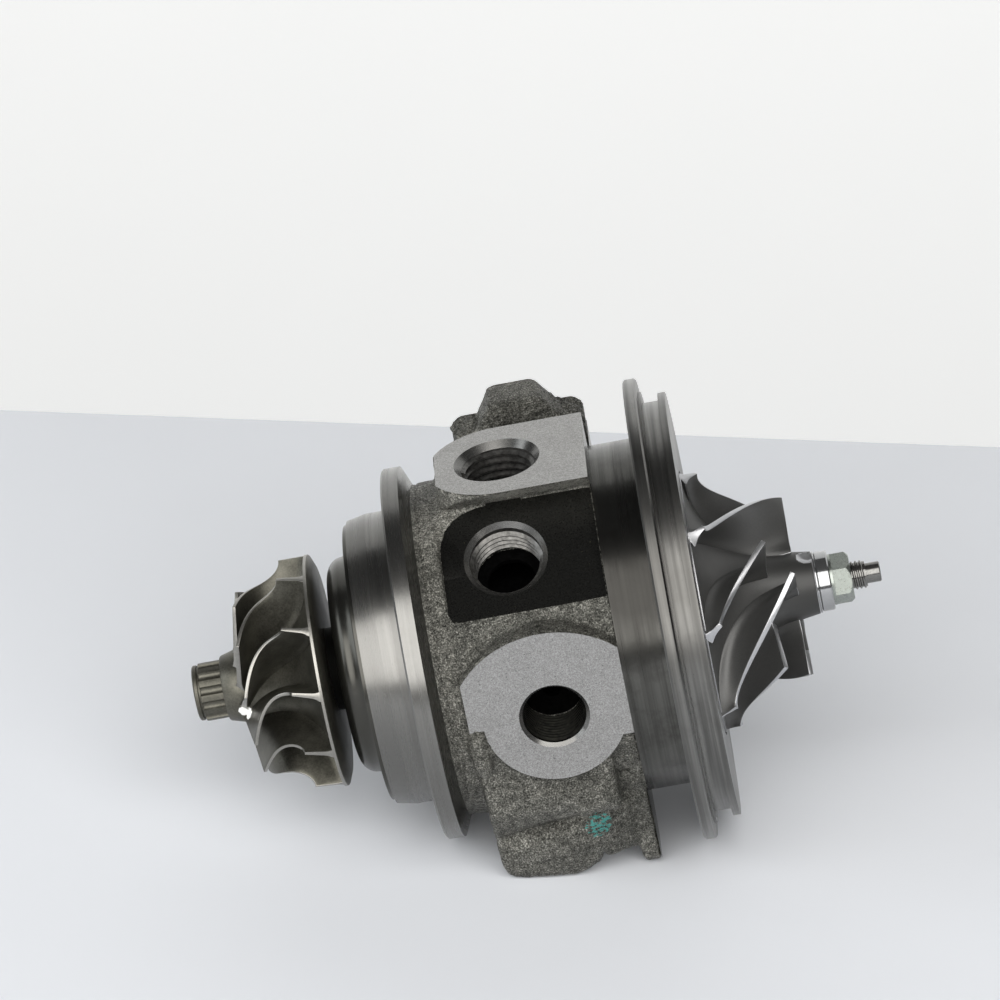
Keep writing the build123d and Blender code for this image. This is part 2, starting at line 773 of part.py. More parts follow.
def turbine_wheel():
    """Radial turbine wheel with a full back disc and a fluted balancing nose."""
    hub_curve = hub_curve_between(turbine_rim, turbine_nose, turbine_radius,
                                  turbine_hub_nose_radius)
    outline = closed(
        Polyline((turbine_back, 0), (turbine_back, turbine_radius), (turbine_rim, turbine_radius)),
        hub_curve,
        Polyline((turbine_nose, turbine_hub_nose_radius),
                 (turbine_nose - nose_collar_length, nose_collar_radius),
                 (turbine_nose - nose_collar_length, 0), (turbine_back, 0)))
    wheel = revolve(outline, axis=Axis.X)

    def hub_line(u):
        x, r = quarter_contour(u, turbine_rim, turbine_nose + 0.4,
                               turbine_radius - blade_rim_gap, turbine_hub_nose_radius)
        return on_wheel(x, r, turbine_first_blade + turbine_hub_turn * u ** turbine_hub_power)

    def tip_line(u):
        x, r = quarter_contour(u, turbine_rim - turbine_tip_height, exducer_tip,
                               turbine_radius - blade_rim_gap, exducer_radius)
        turn = turbine_tip_turn * u ** turbine_tip_power - turbine_inlet_lean
        return on_wheel(x, r, turbine_first_blade + turn)

    one = blade(hub_line, tip_line, 0.0, turbine_root_thickness, turbine_tip_thickness)
    pitch = 360.0 / turbine_blade_count
    wheel += [one.rotate(Axis.X, pitch * i) for i in range(turbine_blade_count)]
    return wheel + balancing_nose()


def balancing_nose():
    """Fluted drive nose with its thin end flange."""
    start = turbine_nose - nose_collar_length
    flutes = rod(start - flute_length, start + 0.1, flute_radius)
    for i in range(flute_count):
        a = radians(360.0 * i / flute_count)
        reach = flute_radius + flute_cut_radius * 0.45
        spot = Plane.YZ.offset(start - flute_length - 1) * Pos(reach * cos(a), reach * sin(a))
        flutes -= spot * extrude_disc(flute_cut_radius, flute_length + 1)
    neck_end = start - flute_length
    neck = rod(neck_end - nose_neck_length, neck_end, nose_neck_radius)
    flange_end = neck_end - nose_neck_length
    flange = rod(flange_end - nose_flange_length, flange_end, nose_flange_radius)
    return flutes + neck + flange


def rotor_shaft():
    """Shaft welded to the turbine wheel: seal hub, two journals, stub, thread and tail."""
    hub_end = first_journal_start
    second_journal = second_bush_start - clip_thickness
    waist_start = first_bush_start + bush_length + clip_thickness
    shoulder = thrust_ring_start
    shaft = turned(
        (turbine_back, 0), (turbine_back, turbine_hub_radius),
        (hub_end - 1.0, turbine_hub_radius), (hub_end, turbine_hub_radius - 1.4),
        (hub_end, journal_radius), (waist_start, journal_radius),
        (waist_start + 0.5, waist_radius), (second_journal - 0.5, waist_radius),
        (second_journal, journal_radius), (shoulder, journal_radius),
        (shoulder, stub_radius), (nut_start, stub_radius),
        (nut_start, thread_radius), (thread_end, thread_radius),
        (thread_end, tail_radius), (shaft_end - 0.2, tail_radius),
        (shaft_end, tail_radius - 0.2), (shaft_end, 0))
    return shaft - ring_cut(turbine_ring_start, ring_width, turbine_hub_radius - ring_depth,
                            ring_depth + 1)


def thrust_ring():
    """Hardened ring against the shaft's shoulder."""
    return turned((thrust_ring_start, stub_radius), (thrust_ring_start, thrust_ring_radius - 0.3),
                  (thrust_ring_start + 0.3, thrust_ring_radius),
                  (thrust_ring_end, thrust_ring_radius), (thrust_ring_end, stub_radius))


def sleeve_ring_start():
    return seal_plate_start + (seal_plate_thickness - ring_width) / 2


def thrust_sleeve():
    """Sleeve that carries the second thrust face and the compressor seal ring."""
    start = thrust_ring_end
    end = compressor_back
    groove = sleeve_ring_start()
    return turned(
        (start, stub_radius), (start, sleeve_hub_radius), (sleeve_flange_start, sleeve_hub_radius),
        (sleeve_flange_start, sleeve_flange_radius), (sleeve_flange_end, sleeve_flange_radius),
        (sleeve_flange_end, sleeve_seal_radius), (groove, sleeve_seal_radius),
        (groove, sleeve_seal_radius - ring_depth),
        (groove + ring_width, sleeve_seal_radius - ring_depth),
        (groove + ring_width, sleeve_seal_radius), (end, sleeve_seal_radius), (end, stub_radius))


def compressor_wheel():
    """Compressor wheel with full blades and splitter blades in turn."""
    rim = compressor_back + compressor_disc
    hub_curve = hub_curve_between(rim, compressor_inlet, compressor_radius,
                                  compressor_hub_radius)
    outline = closed(
        Polyline((compressor_back, stub_radius), (compressor_nose_end, stub_radius),
                 (compressor_nose_end, compressor_nose_radius),
                 (compressor_inlet, compressor_hub_radius)),
        hub_curve,
        Polyline((rim, compressor_radius), (compressor_back, compressor_radius),
                 (compressor_back, stub_radius)))
    wheel = revolve(outline, axis=Axis.X)

    def hub_line(u):
        x, r = quarter_contour(1 - u, rim, compressor_inlet, compressor_radius - blade_rim_gap,
                               compressor_hub_radius)
        return on_wheel(x, r, compressor_first_blade + compressor_inlet_lean
                        + compressor_hub_turn * u)

    def tip_line(u):
        x, r = quarter_contour(1 - u, compressor_exit, compressor_inlet,
                               compressor_radius - blade_rim_gap, inducer_radius)
        turn = compressor_tip_turn * (1 - (1 - u) ** compressor_tip_power)
        return on_wheel(x, r, compressor_first_blade + turn)

    pitch = 360.0 / full_blade_count
    full = blade(hub_line, tip_line, 0.0, compressor_root_thickness, compressor_tip_thickness)
    splitter = blade(hub_line, tip_line, splitter_start, compressor_root_thickness,
                     compressor_tip_thickness)
    blades = [full.rotate(Axis.X, pitch * i) for i in range(full_blade_count)]
    blades += [splitter.rotate(Axis.X, pitch * (i + 0.5)) for i in range(full_blade_count)]
    return wheel + blades


def nose_washer(start, end, radius, chamfer_size):
    return turned((start, stub_radius), (start, radius - chamfer_size),
                  (start + chamfer_size, radius), (end - chamfer_size, radius),
                  (end, radius - chamfer_size), (end, stub_radius))


def lock_nut():
    """Hexagon nut with a round bearing face and chamfered corners."""
    base = rod(nut_start, nut_start + nut_washer_length, nut_washer_radius)
    hexagon = Plane.YZ.offset(nut_start + nut_washer_length) * extrude(
        RegularPolygon(nut_across_flats / 2, 6, major_radius=False, rotation=11),
        amount=nut_length - nut_washer_length)
    corner = nut_across_flats / 2 / cos(pi / 6)
    crown = turned((nut_start - 1, 0), (nut_start - 1, corner + 0.1), (nut_end - 0.9, corner + 0.1),
                   (nut_end, nut_across_flats / 2), (nut_end, 0))
    return (base + (hexagon & crown)) - rod(nut_start - 1, nut_end + 1, thread_radius)


def build():
    turbine_bore = turbine_hub_radius + turbine_bore_clearance
    seal_bore = sleeve_seal_radius + seal_bore_clearance
    return {
        "bearing_housing": bearing_housing(),
        "heat_shield": heat_shield(),
        "turbine_seal_ring": piston_ring(turbine_ring_start, ring_width, turbine_bore,
                                         turbine_hub_radius, 90),
        "bush_retaining_rings": bush_retaining_rings(),
        "turbine_side_bush": floating_bush(first_bush_start),
        "compressor_side_bush": floating_bush(second_bush_start),
        "thrust_bearing": thrust_bearing(),
        "thrust_bearing_pins": thrust_bearing_pins(),
        "oil_deflector": oil_deflector(),
        "seal_plate": seal_plate(),
        "seal_plate_o_ring": seal_plate_o_ring(),
        "seal_plate_snap_ring": seal_plate_snap_ring(),
        "compressor_seal_ring": piston_ring(sleeve_ring_start(), ring_width, seal_bore,
                                            sleeve_seal_radius, 270),
        "rotor_shaft": rotor_shaft(),
        "turbine_wheel": turbine_wheel(),
        "thrust_ring": thrust_ring(),
        "thrust_sleeve": thrust_sleeve(),
        "compressor_wheel": compressor_wheel(),
        "wheel_shim": nose_washer(compressor_nose_end, collar_start, shim_radius, 0.05),
        "wheel_collar": nose_washer(collar_start, nut_start, collar_radius, collar_chamfer),
        "lock_nut": lock_nut(),
    }


os.makedirs("parts", exist_ok=True)
for name, shape in build().items():
    export_step(shape, f"parts/{name}.step")
    print(name, round(shape.volume, 1))
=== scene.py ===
import bpy
import json
from math import cos, degrees, exp, pi, radians, sin, sqrt
from mathutils import Matrix, Vector, noise
from mathutils.bvhtree import BVHTree

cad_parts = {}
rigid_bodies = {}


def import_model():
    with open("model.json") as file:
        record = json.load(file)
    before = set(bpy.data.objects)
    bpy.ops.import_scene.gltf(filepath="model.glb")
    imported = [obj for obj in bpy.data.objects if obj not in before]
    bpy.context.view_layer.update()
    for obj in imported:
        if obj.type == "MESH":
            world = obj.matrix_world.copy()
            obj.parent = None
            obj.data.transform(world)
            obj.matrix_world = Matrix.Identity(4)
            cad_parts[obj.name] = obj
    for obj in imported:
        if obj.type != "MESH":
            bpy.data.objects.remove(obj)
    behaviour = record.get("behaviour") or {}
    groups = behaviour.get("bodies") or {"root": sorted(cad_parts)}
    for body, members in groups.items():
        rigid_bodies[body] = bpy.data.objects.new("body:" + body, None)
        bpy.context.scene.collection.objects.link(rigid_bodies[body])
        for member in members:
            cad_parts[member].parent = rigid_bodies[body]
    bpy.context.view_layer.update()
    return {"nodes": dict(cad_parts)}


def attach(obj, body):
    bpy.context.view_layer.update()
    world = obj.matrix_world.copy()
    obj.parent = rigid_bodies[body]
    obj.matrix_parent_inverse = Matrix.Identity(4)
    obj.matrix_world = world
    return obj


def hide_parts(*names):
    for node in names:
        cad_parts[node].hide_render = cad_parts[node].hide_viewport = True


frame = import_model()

mm = 0.001


# A shader socket that Python operators can add, multiply and so on
class Signal:
    def __init__(self, tree, socket=None):
        self.tree = tree
        self.socket = socket

    # Adds one node: its settings first, then the values or links of its sockets
    def add(self, kind, settings=None, inputs=None, out=0):
        made = self.tree.nodes.new(kind)
        for key, value in (settings or {}).items():
            if key == "stops":
                ramp = made.color_ramp
                while len(ramp.elements) < len(value):
                    ramp.elements.new(0.5)
                for element, (place, colour) in zip(ramp.elements, value):
                    element.position = place
                    element.color = colour
            else:
                setattr(made, key, value)
        for key, value in (inputs or {}).items():
            if isinstance(value, Signal):
                self.tree.links.new(value.socket, made.inputs[key])
            else:
                made.inputs[key].default_value = value
        return Signal(self.tree, made.outputs[out])

    def maths(self, operation, *values):
        return self.add("ShaderNodeMath", {"operation": operation}, dict(enumerate(values)))

    def __add__(self, other): return self.maths("ADD", self, other)
    def __radd__(self, other): return self.maths("ADD", other, self)
    def __sub__(self, other): return self.maths("SUBTRACT", self, other)
    def __rsub__(self, other): return self.maths("SUBTRACT", other, self)
    def __mul__(self, other): return self.maths("MULTIPLY", self, other)
    def __rmul__(self, other): return self.maths("MULTIPLY", other, self)
    def sine(self): return self.maths("SINE", self)
    def least(self, other): return self.maths("MINIMUM", self, other)
    def most(self, other): return self.maths("MAXIMUM", self, other)


# A new material: its shader, the object's own coordinates and the patterns made from them
class Finish:
    def __init__(self, name, metallic, roughness=0.5, ior=1.5):
        self.material = bpy.data.materials.new(name)
        self.material.use_nodes = True
        self.tree = self.material.node_tree
        self.shader = self.tree.nodes["Principled BSDF"]
        self.base = Signal(self.tree)
        self.place = self.base.add("ShaderNodeTexCoord", out=3)
        parts = self.tree.nodes.new("ShaderNodeSeparateXYZ")
        self.tree.links.new(self.place.socket, parts.inputs[0])
        self.x, self.y, self.z = [Signal(self.tree, parts.outputs[i]) for i in range(3)]
        self.set("Metallic", metallic)
        self.set("Roughness", roughness)
        self.set("IOR", ior)

    def set(self, name, value):
        if isinstance(value, Signal):
            self.tree.links.new(value.socket, self.shader.inputs[name])
        else:
            self.shader.inputs[name].default_value = value

    # Noise whose spots are about this many millimetres across
    def grain(self, size, detail, rough, stretch=(1, 1, 1)):
        mapped = self.base.add("ShaderNodeMapping", None, {0: self.place, 3: stretch})
        return self.base.add("ShaderNodeTexNoise", None, {
            "Vector": mapped, "Scale": 1 / (size * mm), "Detail": detail, "Roughness": rough})

    # Falls to 0 at the given distance in millimetres, from the sharpness at the place itself
    def near(self, place, reach, sharp):
        away = self.base.add("ShaderNodeVectorMath", {"operation": "DISTANCE"}, {
            0: self.place, 1: tuple(c * mm for c in place)}, out=1)
        return self.between(away, sharp, 0.0, 0.0, reach * mm)

    # Goes from low to high while the factor goes from start to end
    def between(self, factor, low, high, start=0.0, end=1.0):
        return self.base.add("ShaderNodeMapRange", None, {
            0: factor, 1: start, 2: end, 3: low, 4: high})

    def colours(self, factor, stops):
        steps = [(place, (*colour, 1)) for place, colour in stops]
        return self.base.add("ShaderNodeValToRGB", {"stops": steps}, {0: factor})

    def blend(self, factor, first, second):
        def colour(c):
            return c if isinstance(c, Signal) else (*c, 1)
        return self.base.add("ShaderNodeMix", {"data_type": "RGBA"}, {
            0: factor, 6: colour(first), 7: colour(second)}, out=2)

    # Relief: the height is 0 to 1 and the depth is in millimetres
    def bump(self, height, depth, strength, under=None):
        inputs = {"Height": height, "Distance": depth * mm, "Strength": strength}
        if under is not None:
            inputs["Normal"] = under
        return self.base.add("ShaderNodeBump", None, inputs)


# Rough sand-cast iron: granular, grey-brown, with small bright grains, a dab of teal paint and
# painted light that lifts its tone on the downward-facing strip in front of the top port
castIron = {"dark": (0.016, 0.016, 0.013), "mid": (0.074, 0.073, 0.063),
            "warm": (0.155, 0.153, 0.135), "light": (0.42, 0.41, 0.37),
            "paint": (0.03, 0.26, 0.235), "dab": (29.4, -27.6, -28.2), "dabReach": 4.4,
            "paintedLightStrips": [((14.0, -9.5, 33.5), 13.0, 0.06), ((25.0, -11.0, 35.8), 8.0, 0.13),
                       ((36.0, -11.0, 35.8), 8.0, 0.13)]}


def roughCasting():
    f = Finish("roughCastIron", 0.55, ior=1.6)
    fine = f.grain(0.30, 3.0, 0.65)
    coarse = f.grain(1.2, 3.0, 0.6)
    broad = f.grain(9.0, 2.0, 0.5)
    tone = fine * 0.62 + coarse * 0.30 + broad * 0.12
    # Painted light: the tone is lifted near these places, so the strip looks lit
    for place, reach, lift in castIron["paintedLightStrips"]:
        tone = tone + f.near(place, reach, 1.4).least(1.0) * lift
    iron = f.colours(tone, [(0.40, castIron["dark"]), (0.50, castIron["mid"]),
                            (0.58, castIron["warm"]), (0.68, castIron["light"])])
    strokes = f.grain(0.62, 3.0, 0.6, (0.6, 1, 1.4))
    worn = f.near(castIron["dab"], castIron["dabReach"], 2.2).least(1.0) * strokes
    paint = f.between(worn, 0.0, 0.9, 0.50, 0.54)
    f.set("Base Color", f.blend(paint, iron, castIron["paint"]))
    f.set("Metallic", f.between(paint, 0.6, 0.1))
    f.set("Roughness", f.between(fine, 0.66, 0.30, 0.35, 0.7))
    low = f.bump(coarse, 0.35, 0.8)
    f.set("Normal", f.bump(fine, 0.30, 1.0, low))
    return f.material


# Ground pad faces: pale grey with a fine dark speckle, with painted shade that makes the top pad a
# little darker
groundIron = {"dark": (0.205, 0.201, 0.193), "mid": (0.33, 0.326, 0.318),
              "light": (0.45, 0.446, 0.437), "pit": (0.06, 0.058, 0.055),
              "topShade": 0.12, "topPad": (36, 37)}


def groundPad():
    f = Finish("groundIronPad", 0.9, ior=1.6)
    speck = f.grain(0.26, 2.0, 0.7)
    cloud = f.grain(4.5, 3.0, 0.6)
    pits = f.grain(0.34, 1.0, 0.5)
    tone = speck * 0.88 + cloud * 0.12
    colour = f.colours(tone, [(0.30, groundIron["dark"]), (0.50, groundIron["mid"]),
                              (0.68, groundIron["light"])])
    ground = f.blend(f.between(pits, 0.0, 0.7, 0.70, 0.76), colour, groundIron["pit"])
    # Painted shade: the top pad's colour is blended a little towards black
    low, high = groundIron["topPad"]
    topPadShade = f.between(f.z, 0.0, groundIron["topShade"], low * mm, high * mm)
    f.set("Base Color", f.blend(topPadShade, ground, (0.0, 0.0, 0.0)))
    f.set("Roughness", f.between(speck, 0.17, 0.25, 0.3, 0.7))
    f.set("Normal", f.bump(speck, 0.003, 0.4))
    return f.material


# Painted shade: the sloping pad's ground iron is coloured nearly black for the dark it reflects,
# with a few light specks left in its fine grinding marks
paintedShadePadColours = {"low": (0.030, 0.030, 0.028), "high": (0.042, 0.042, 0.039),
              "speck": (0.20, 0.20, 0.12)}


def paintedShadeGroundPad():
    f = Finish("paintedShadeGroundPad", 0.9, ior=1.45)
    fine = f.grain(0.3, 2.0, 0.6)
    specks = f.grain(0.55, 2.0, 0.5)
    colour = f.colours(fine, [(0.35, paintedShadePadColours["low"]), (0.65, paintedShadePadColours["high"])])
    f.set("Base Color", f.blend(f.between(specks, 0.0, 0.8, 0.74, 0.78), colour,
                                paintedShadePadColours["speck"]))
    f.set("Roughness", f.between(fine, 0.26, 0.32, 0.3, 0.7))
    f.set("Normal", f.bump(fine, 0.001, 0.3))
    return f.material


# Turned iron: fine rings across the shaft, with faint stains that follow them, and painted shade
# near one place where a shade is given
turnedIron = {"stain": (0.12, 0.116, 0.106), "speck": (0.03, 0.029, 0.027), "pilot": (-4.5, -4.3)}


def turnedSurface(name, colour, roughness, pitch, depth, stain=0.25,
                  stainAndShadeColour=turnedIron["stain"], low=0.86, shade=None):
    f = Finish(name, 0.95, ior=1.6)
    wobble = f.grain(2.2, 2.0, 0.5, (1, 0.12, 0.12))
    rings = (f.x * (2 * pi / (pitch * mm)) + wobble * 1.6).sine() * 0.5 + 0.5
    bands = f.grain(1.1, 3.0, 0.6, (1, 0.02, 0.02))
    cloud = f.grain(6.0, 5.0, 0.65)
    specks = f.grain(0.5, 2.0, 0.6)
    darker = tuple(c * low for c in colour)
    pilotStart, pilotEnd = turnedIron["pilot"]
    pilot = f.between(f.x, 1.0, 0.0, pilotStart * mm, pilotEnd * mm)
    streaks = f.between(bands, 0.0, 1.0, 0.35, 0.65) - pilot * 0.9
    tone = f.blend(streaks.most(0.0), darker, colour)
    stainedAndShaded = f.blend(f.between(cloud, 0.0, stain, 0.48, 0.72), tone, stainAndShadeColour)
    # Painted shade: near the given place the colour is blended towards the stain colour
    if shade:
        place, reach, amount = shade
        stainedAndShaded = f.blend(f.near(place, reach, 1.4).least(1.0) * amount, stainedAndShaded, stainAndShadeColour)
    f.set("Base Color", f.blend(f.between(specks, 0.0, 0.5, 0.70, 0.76), stainedAndShaded,
                                turnedIron["speck"]))
    f.set("Roughness", f.between(bands, roughness + 0.05, roughness - 0.03, 0.3, 0.7))
    f.set("Normal", f.bump(rings * 0.7 + bands * 0.3, depth, 1.0))
    return f.material


def drilledHole(name, low, high, roughness, metallic=0.85, ior=1.6):
    f = Finish(name, metallic, roughness, ior)
    spots = f.grain(0.9, 3.0, 0.6)
    f.set("Base Color", f.colours(spots, [(0.3, low), (0.7, high)]))
    f.set("Normal", f.bump(f.grain(0.5, 2.0, 0.6), 0.02, 0.6))
    return f.material


def satinMetal(name, colour, roughness, speckle, size=0.4, metallic=0.9, relief=0.01):
    f = Finish(name, metallic, ior=1.6)
    spots = f.grain(size, 3.0, 0.6)
    cloud = f.grain(size * 12, 3.0, 0.6)
    tone = spots * 0.6 + cloud * 0.4
    low = tuple(c * (1 - speckle) for c in colour)
    high = tuple(min(1, c * (1 + speckle)) for c in colour)
    f.set("Base Color", f.colours(tone, [(0.32, low), (0.68, high)]))
    f.set("Roughness", f.between(spots, roughness - speckle * 0.2, roughness + speckle * 0.3,
                                 0.3, 0.7))
    f.set("Normal", f.bump(spots, relief, 0.5))
    return f.material


# Ground shaft steel, with painted shade that makes it nearly black at its turbine end, in the dark
# gap between the turbine wheel and the heat shield
shaftSkin = {"low": (0.15, 0.148, 0.142), "high": (0.21, 0.207, 0.20),
             "gapShade": (0.010, 0.010, 0.009), "gapShadeEnd": (-9, -6)}


def shaftSteel():
    f = Finish("groundShaft", 0.9)
    spots = f.grain(0.4, 3.0, 0.6)
    steel = f.colours(spots, [(0.3, shaftSkin["low"]), (0.7, shaftSkin["high"])])
    # Painted shade: towards the turbine end the steel is blended to near black
    start, end = shaftSkin["gapShadeEnd"]
    gapShade = f.between(f.x, 1.0, 0.0, start * mm, end * mm)
    f.set("Base Color", f.blend(gapShade, steel, shaftSkin["gapShade"]))
    f.set("Roughness", f.between(gapShade, 0.22, 0.7))
    f.set("Normal", f.bump(spots, 0.002, 0.4))
    return f.material


# As-cast turbine alloy with a blob of white paint beside the blades
turbineSkin = {"low": (0.050, 0.048, 0.039), "high": (0.150, 0.145, 0.120),
               "paint": (0.88, 0.88, 0.86), "dot": (-33.75, -7.4, -2.0), "dotReach": 1.9}


def turbineAlloy():
    f = Finish("turbineAlloy", 0.85, ior=1.6)
    spots = f.grain(0.35, 3.0, 0.65)
    cloud = f.grain(4.0, 3.0, 0.6)
    alloy = f.colours(spots * 0.5 + cloud * 0.5,
                      [(0.32, turbineSkin["low"]), (0.70, turbineSkin["high"])])
    dot = f.near(turbineSkin["dot"], turbineSkin["dotReach"], 1.0)
    paint = f.between(dot + f.grain(0.8, 2.0, 0.6) * 0.35, 0.0, 1.0, 0.40, 0.46)
    f.set("Base Color", f.blend(paint, alloy, turbineSkin["paint"]))
    f.set("Metallic", f.between(paint, 0.85, 0.0))
    f.set("Roughness", f.between(spots, 0.36, 0.50, 0.3, 0.7))
    f.set("Normal", f.bump(spots, 0.02, 0.6))
    return f.material


# Cast aluminium with painted shade that darkens it towards the compressor wheel's nose
compressorSkin = {"low": (0.088, 0.088, 0.086), "high": (0.106, 0.106, 0.104),
                  "dark": (0.034, 0.034, 0.033), "nose": (77.0, 0, 0), "noseShadeReach": 15.0}


def compressorAlloy():
    f = Finish("compressorWheelSkin", 0.55, ior=1.6)
    spots = f.grain(0.25, 3.0, 0.6)
    alloy = f.colours(spots, [(0.32, compressorSkin["low"]), (0.68, compressorSkin["high"])])
    # Painted shade: the colour is blended towards dark near the nose
    nose = f.near(compressorSkin["nose"], compressorSkin["noseShadeReach"], 1.5).least(1.0)
    f.set("Base Color", f.blend(nose, alloy, compressorSkin["dark"]))
    f.set("Roughness", f.between(spots, 0.44, 0.48, 0.3, 0.7))
    f.set("Normal", f.bump(spots, 0.003, 0.5))
    return f.material


finishes = {
    "rough": roughCasting(),
    "pad": groundPad(),
    "paintedShadePad": paintedShadeGroundPad(),
    "turned": turnedSurface("turnedIronFlange", (0.190, 0.188, 0.180), 0.26, 0.30, 0.0015),
    # Painted shade: the drum and the disc are blended towards their dark stain colours near one
    # place on their fronts
    "drum": turnedSurface("turnedDrum", (0.105, 0.104, 0.097), 0.24, 0.42, 0.002, 0.5,
                          (0.026, 0.025, 0.023), 0.55, ((44, -26.7, 20), 16, 0.9)),
    "disc": turnedSurface("turnedDisc", (0.205, 0.203, 0.195), 0.30, 0.30, 0.002, 0.25,
                          (0.06, 0.058, 0.054), 0.55, ((51, -36.4, 26), 17, 0.65)),
    "hole": drilledHole("drilledHole", (0.05, 0.049, 0.046), (0.17, 0.167, 0.16), 0.32),
    # Painted shade: the ports' inner ends and the inner bore are coloured black, with no metal and
    # almost no reflection
    "deep": drilledHole("shadowedPassage", (0.001, 0.001, 0.001), (0.003, 0.003, 0.003), 0.8,
                        0.0, 1.05),
    # Painted shade: the inlet port's bore and thread are coloured nearly black for the dark inside
    # the port
    "shadedHole": drilledHole("shadedThread", (0.003, 0.003, 0.003), (0.012, 0.012, 0.010), 0.45,
                            0.9, 1.1),
    "chamfer": satinMetal("cutChamfer", (0.17, 0.168, 0.162), 0.24, 0.1, relief=0.002),
    "turbine": turbineAlloy(),
    "turbineEdge": satinMetal("turbineMachinedEdge", (0.28, 0.273, 0.252), 0.34, 0.15,
                              relief=0.002),
    "shield": satinMetal("shieldSheet", (0.062, 0.061, 0.055), 0.25, 0.06, 0.8,
                         relief=0.0004),
    "wheel": compressorAlloy(),
    "wheelEdge": satinMetal("compressorMachinedEdge", (0.50, 0.505, 0.52), 0.36, 0.04,
                            relief=0.0005),
    "shaft": shaftSteel(),
    "spring": satinMetal("oiledSpringSteel", (0.22, 0.22, 0.23), 0.35, 0.2),
    "bronze": satinMetal("bearingBronze", (0.62, 0.43, 0.20), 0.30, 0.15),
    "plate": satinMetal("turnedPlate", (0.62, 0.62, 0.63), 0.32, 0.12),
    "rubber": satinMetal("sealRubber", (0.02, 0.02, 0.02), 0.6, 0.2, metallic=0.0),
    "polished": satinMetal("polishedCollar", (0.38, 0.385, 0.39), 0.13, 0.05, relief=0.0005),
    "zinc": satinMetal("zincNut", (0.31, 0.335, 0.31), 0.28, 0.16, 0.7, relief=0.002),
}
print("finishes ready:", len(finishes))


# Every CAD node gets the finish of its own metal
nodeFinish = {
    "spring": ["turbine_seal_ring", "bush_retaining_rings", "oil_deflector",
               "seal_plate_snap_ring", "compressor_seal_ring"],
    "bronze": ["turbine_side_bush", "compressor_side_bush", "thrust_bearing"],
    "shaft": ["thrust_bearing_pins", "rotor_shaft", "thrust_ring", "thrust_sleeve"],
    "plate": ["seal_plate"], "rubber": ["seal_plate_o_ring"], "turbine": ["turbine_wheel"],
    "wheel": ["compressor_wheel"], "polished": ["wheel_shim", "wheel_collar"],
    "zinc": ["lock_nut"], "shield": ["heat_shield"], "turned": ["bearing_housing"],
}
for finishName, nodeNames in nodeFinish.items():
    for nodeName in nodeNames:
        materials = frame["nodes"][nodeName].data.materials
        materials.clear()
        materials.append(finishes[finishName])
print("CAD nodes finished")


def clamp(value, low=0.0, high=1.0):
    return min(high, max(low, value))


def clearSelection():
    if bpy.context.object and bpy.context.object.mode != "OBJECT":
        bpy.ops.object.mode_set(mode="OBJECT")
    for other in bpy.context.view_layer.objects:
        other.select_set(False)


def selectOnly(piece):
    clearSelection()
    piece.select_set(True)
    bpy.context.view_layer.objects.active = piece


def nameFinishes(piece, names):
    piece.data.materials.clear()
    for name in names:
        piece.data.materials.append(finishes[name])


def finishPiece(piece, name, body, smooth):
    piece.name = name
    selectOnly(piece)
    bpy.ops.object.shade_smooth_by_angle(angle=radians(smooth))
    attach(piece, body)


# Gives the active piece a modifier with these settings, and applies it
def shapeWith(kind, **settings):
    added = bpy.context.object.modifiers.new(kind.lower(), kind)
    for key, value in settings.items():
        setattr(added, key, value)
    bpy.ops.object.modifier_apply(modifier=added.name)


# Merges the active piece's close points, fills its open ends and turns its faces outwards
def closeShape(merge=0, ends=0):
    bpy.ops.object.mode_set(mode="EDIT")
    bpy.ops.mesh.select_all(action="SELECT")
    if merge:
        bpy.ops.mesh.remove_doubles(threshold=merge * mm)
    if ends:
        bpy.ops.mesh.fill_holes(sides=ends)
    bpy.ops.mesh.normals_make_consistent(inside=False)
    bpy.ops.object.mode_set(mode="OBJECT")


# A block whose eight corners go where place(right, far, high) says, in millimetres
def cornerBlock(place):
    clearSelection()
    bpy.ops.mesh.primitive_cube_add(size=1)
    block = bpy.context.object
    for vertex in block.data.vertices:
        vertex.co = Vector(place(*[c > 0 for c in vertex.co])) * mm
    return block


# Moves a point towards the shaft's axis by a depth in millimetres
def pressIn(vertex, depth):
    radius = (vertex.co / mm).yz.length
    vertex.co.y *= (radius - depth) / radius
    vertex.co.z *= (radius - depth) / radius


# A merged copy of a CAD node, ready for new finishes
def nodeCopy(nodeName):
    piece = frame["nodes"][nodeName].copy()
    piece.data = piece.data.copy()
    piece.parent = None
    for key in list(piece.keys()):
        del piece[key]
    bpy.context.scene.collection.objects.link(piece)
    selectOnly(piece)
    bpy.ops.mesh.customdata_custom_splitnormals_clear()
    bpy.ops.object.mode_set(mode="EDIT")
    bpy.ops.mesh.select_all(action="SELECT")
    bpy.ops.mesh.remove_doubles(threshold=0.005 * mm)
    bpy.ops.object.mode_set(mode="OBJECT")
    return piece


# A round piece on the shaft's axis, drawn out ring by ring through (x, radius) in millimetres
def turnPiece(stations, sides, loop=False):
    clearSelection()
    smallest = 0.004
    x, r = stations[0][0], max(stations[0][1], smallest)
    bpy.ops.mesh.primitive_circle_add(vertices=sides, radius=r * mm, location=(x * mm, 0, 0),
                                      rotation=(0, pi / 2, 0))
    piece = bpy.context.object
    bpy.ops.object.transform_apply(location=True, rotation=True, scale=True)
    bpy.ops.object.mode_set(mode="EDIT")
    bpy.ops.mesh.select_all(action="SELECT")
    for nextX, nextR in list(stations[1:]) + ([stations[0]] if loop else []):
        nextR = max(nextR, smallest)
        bpy.ops.mesh.extrude_region_move(
            TRANSFORM_OT_translate={"value": ((nextX - x) * mm, 0, 0)})
        bpy.ops.transform.resize(value=(1, nextR / r, nextR / r),
                                 center_override=(nextX * mm, 0, 0))
        x, r = nextX, nextR
    closeShape(merge=0.01)
    return piece


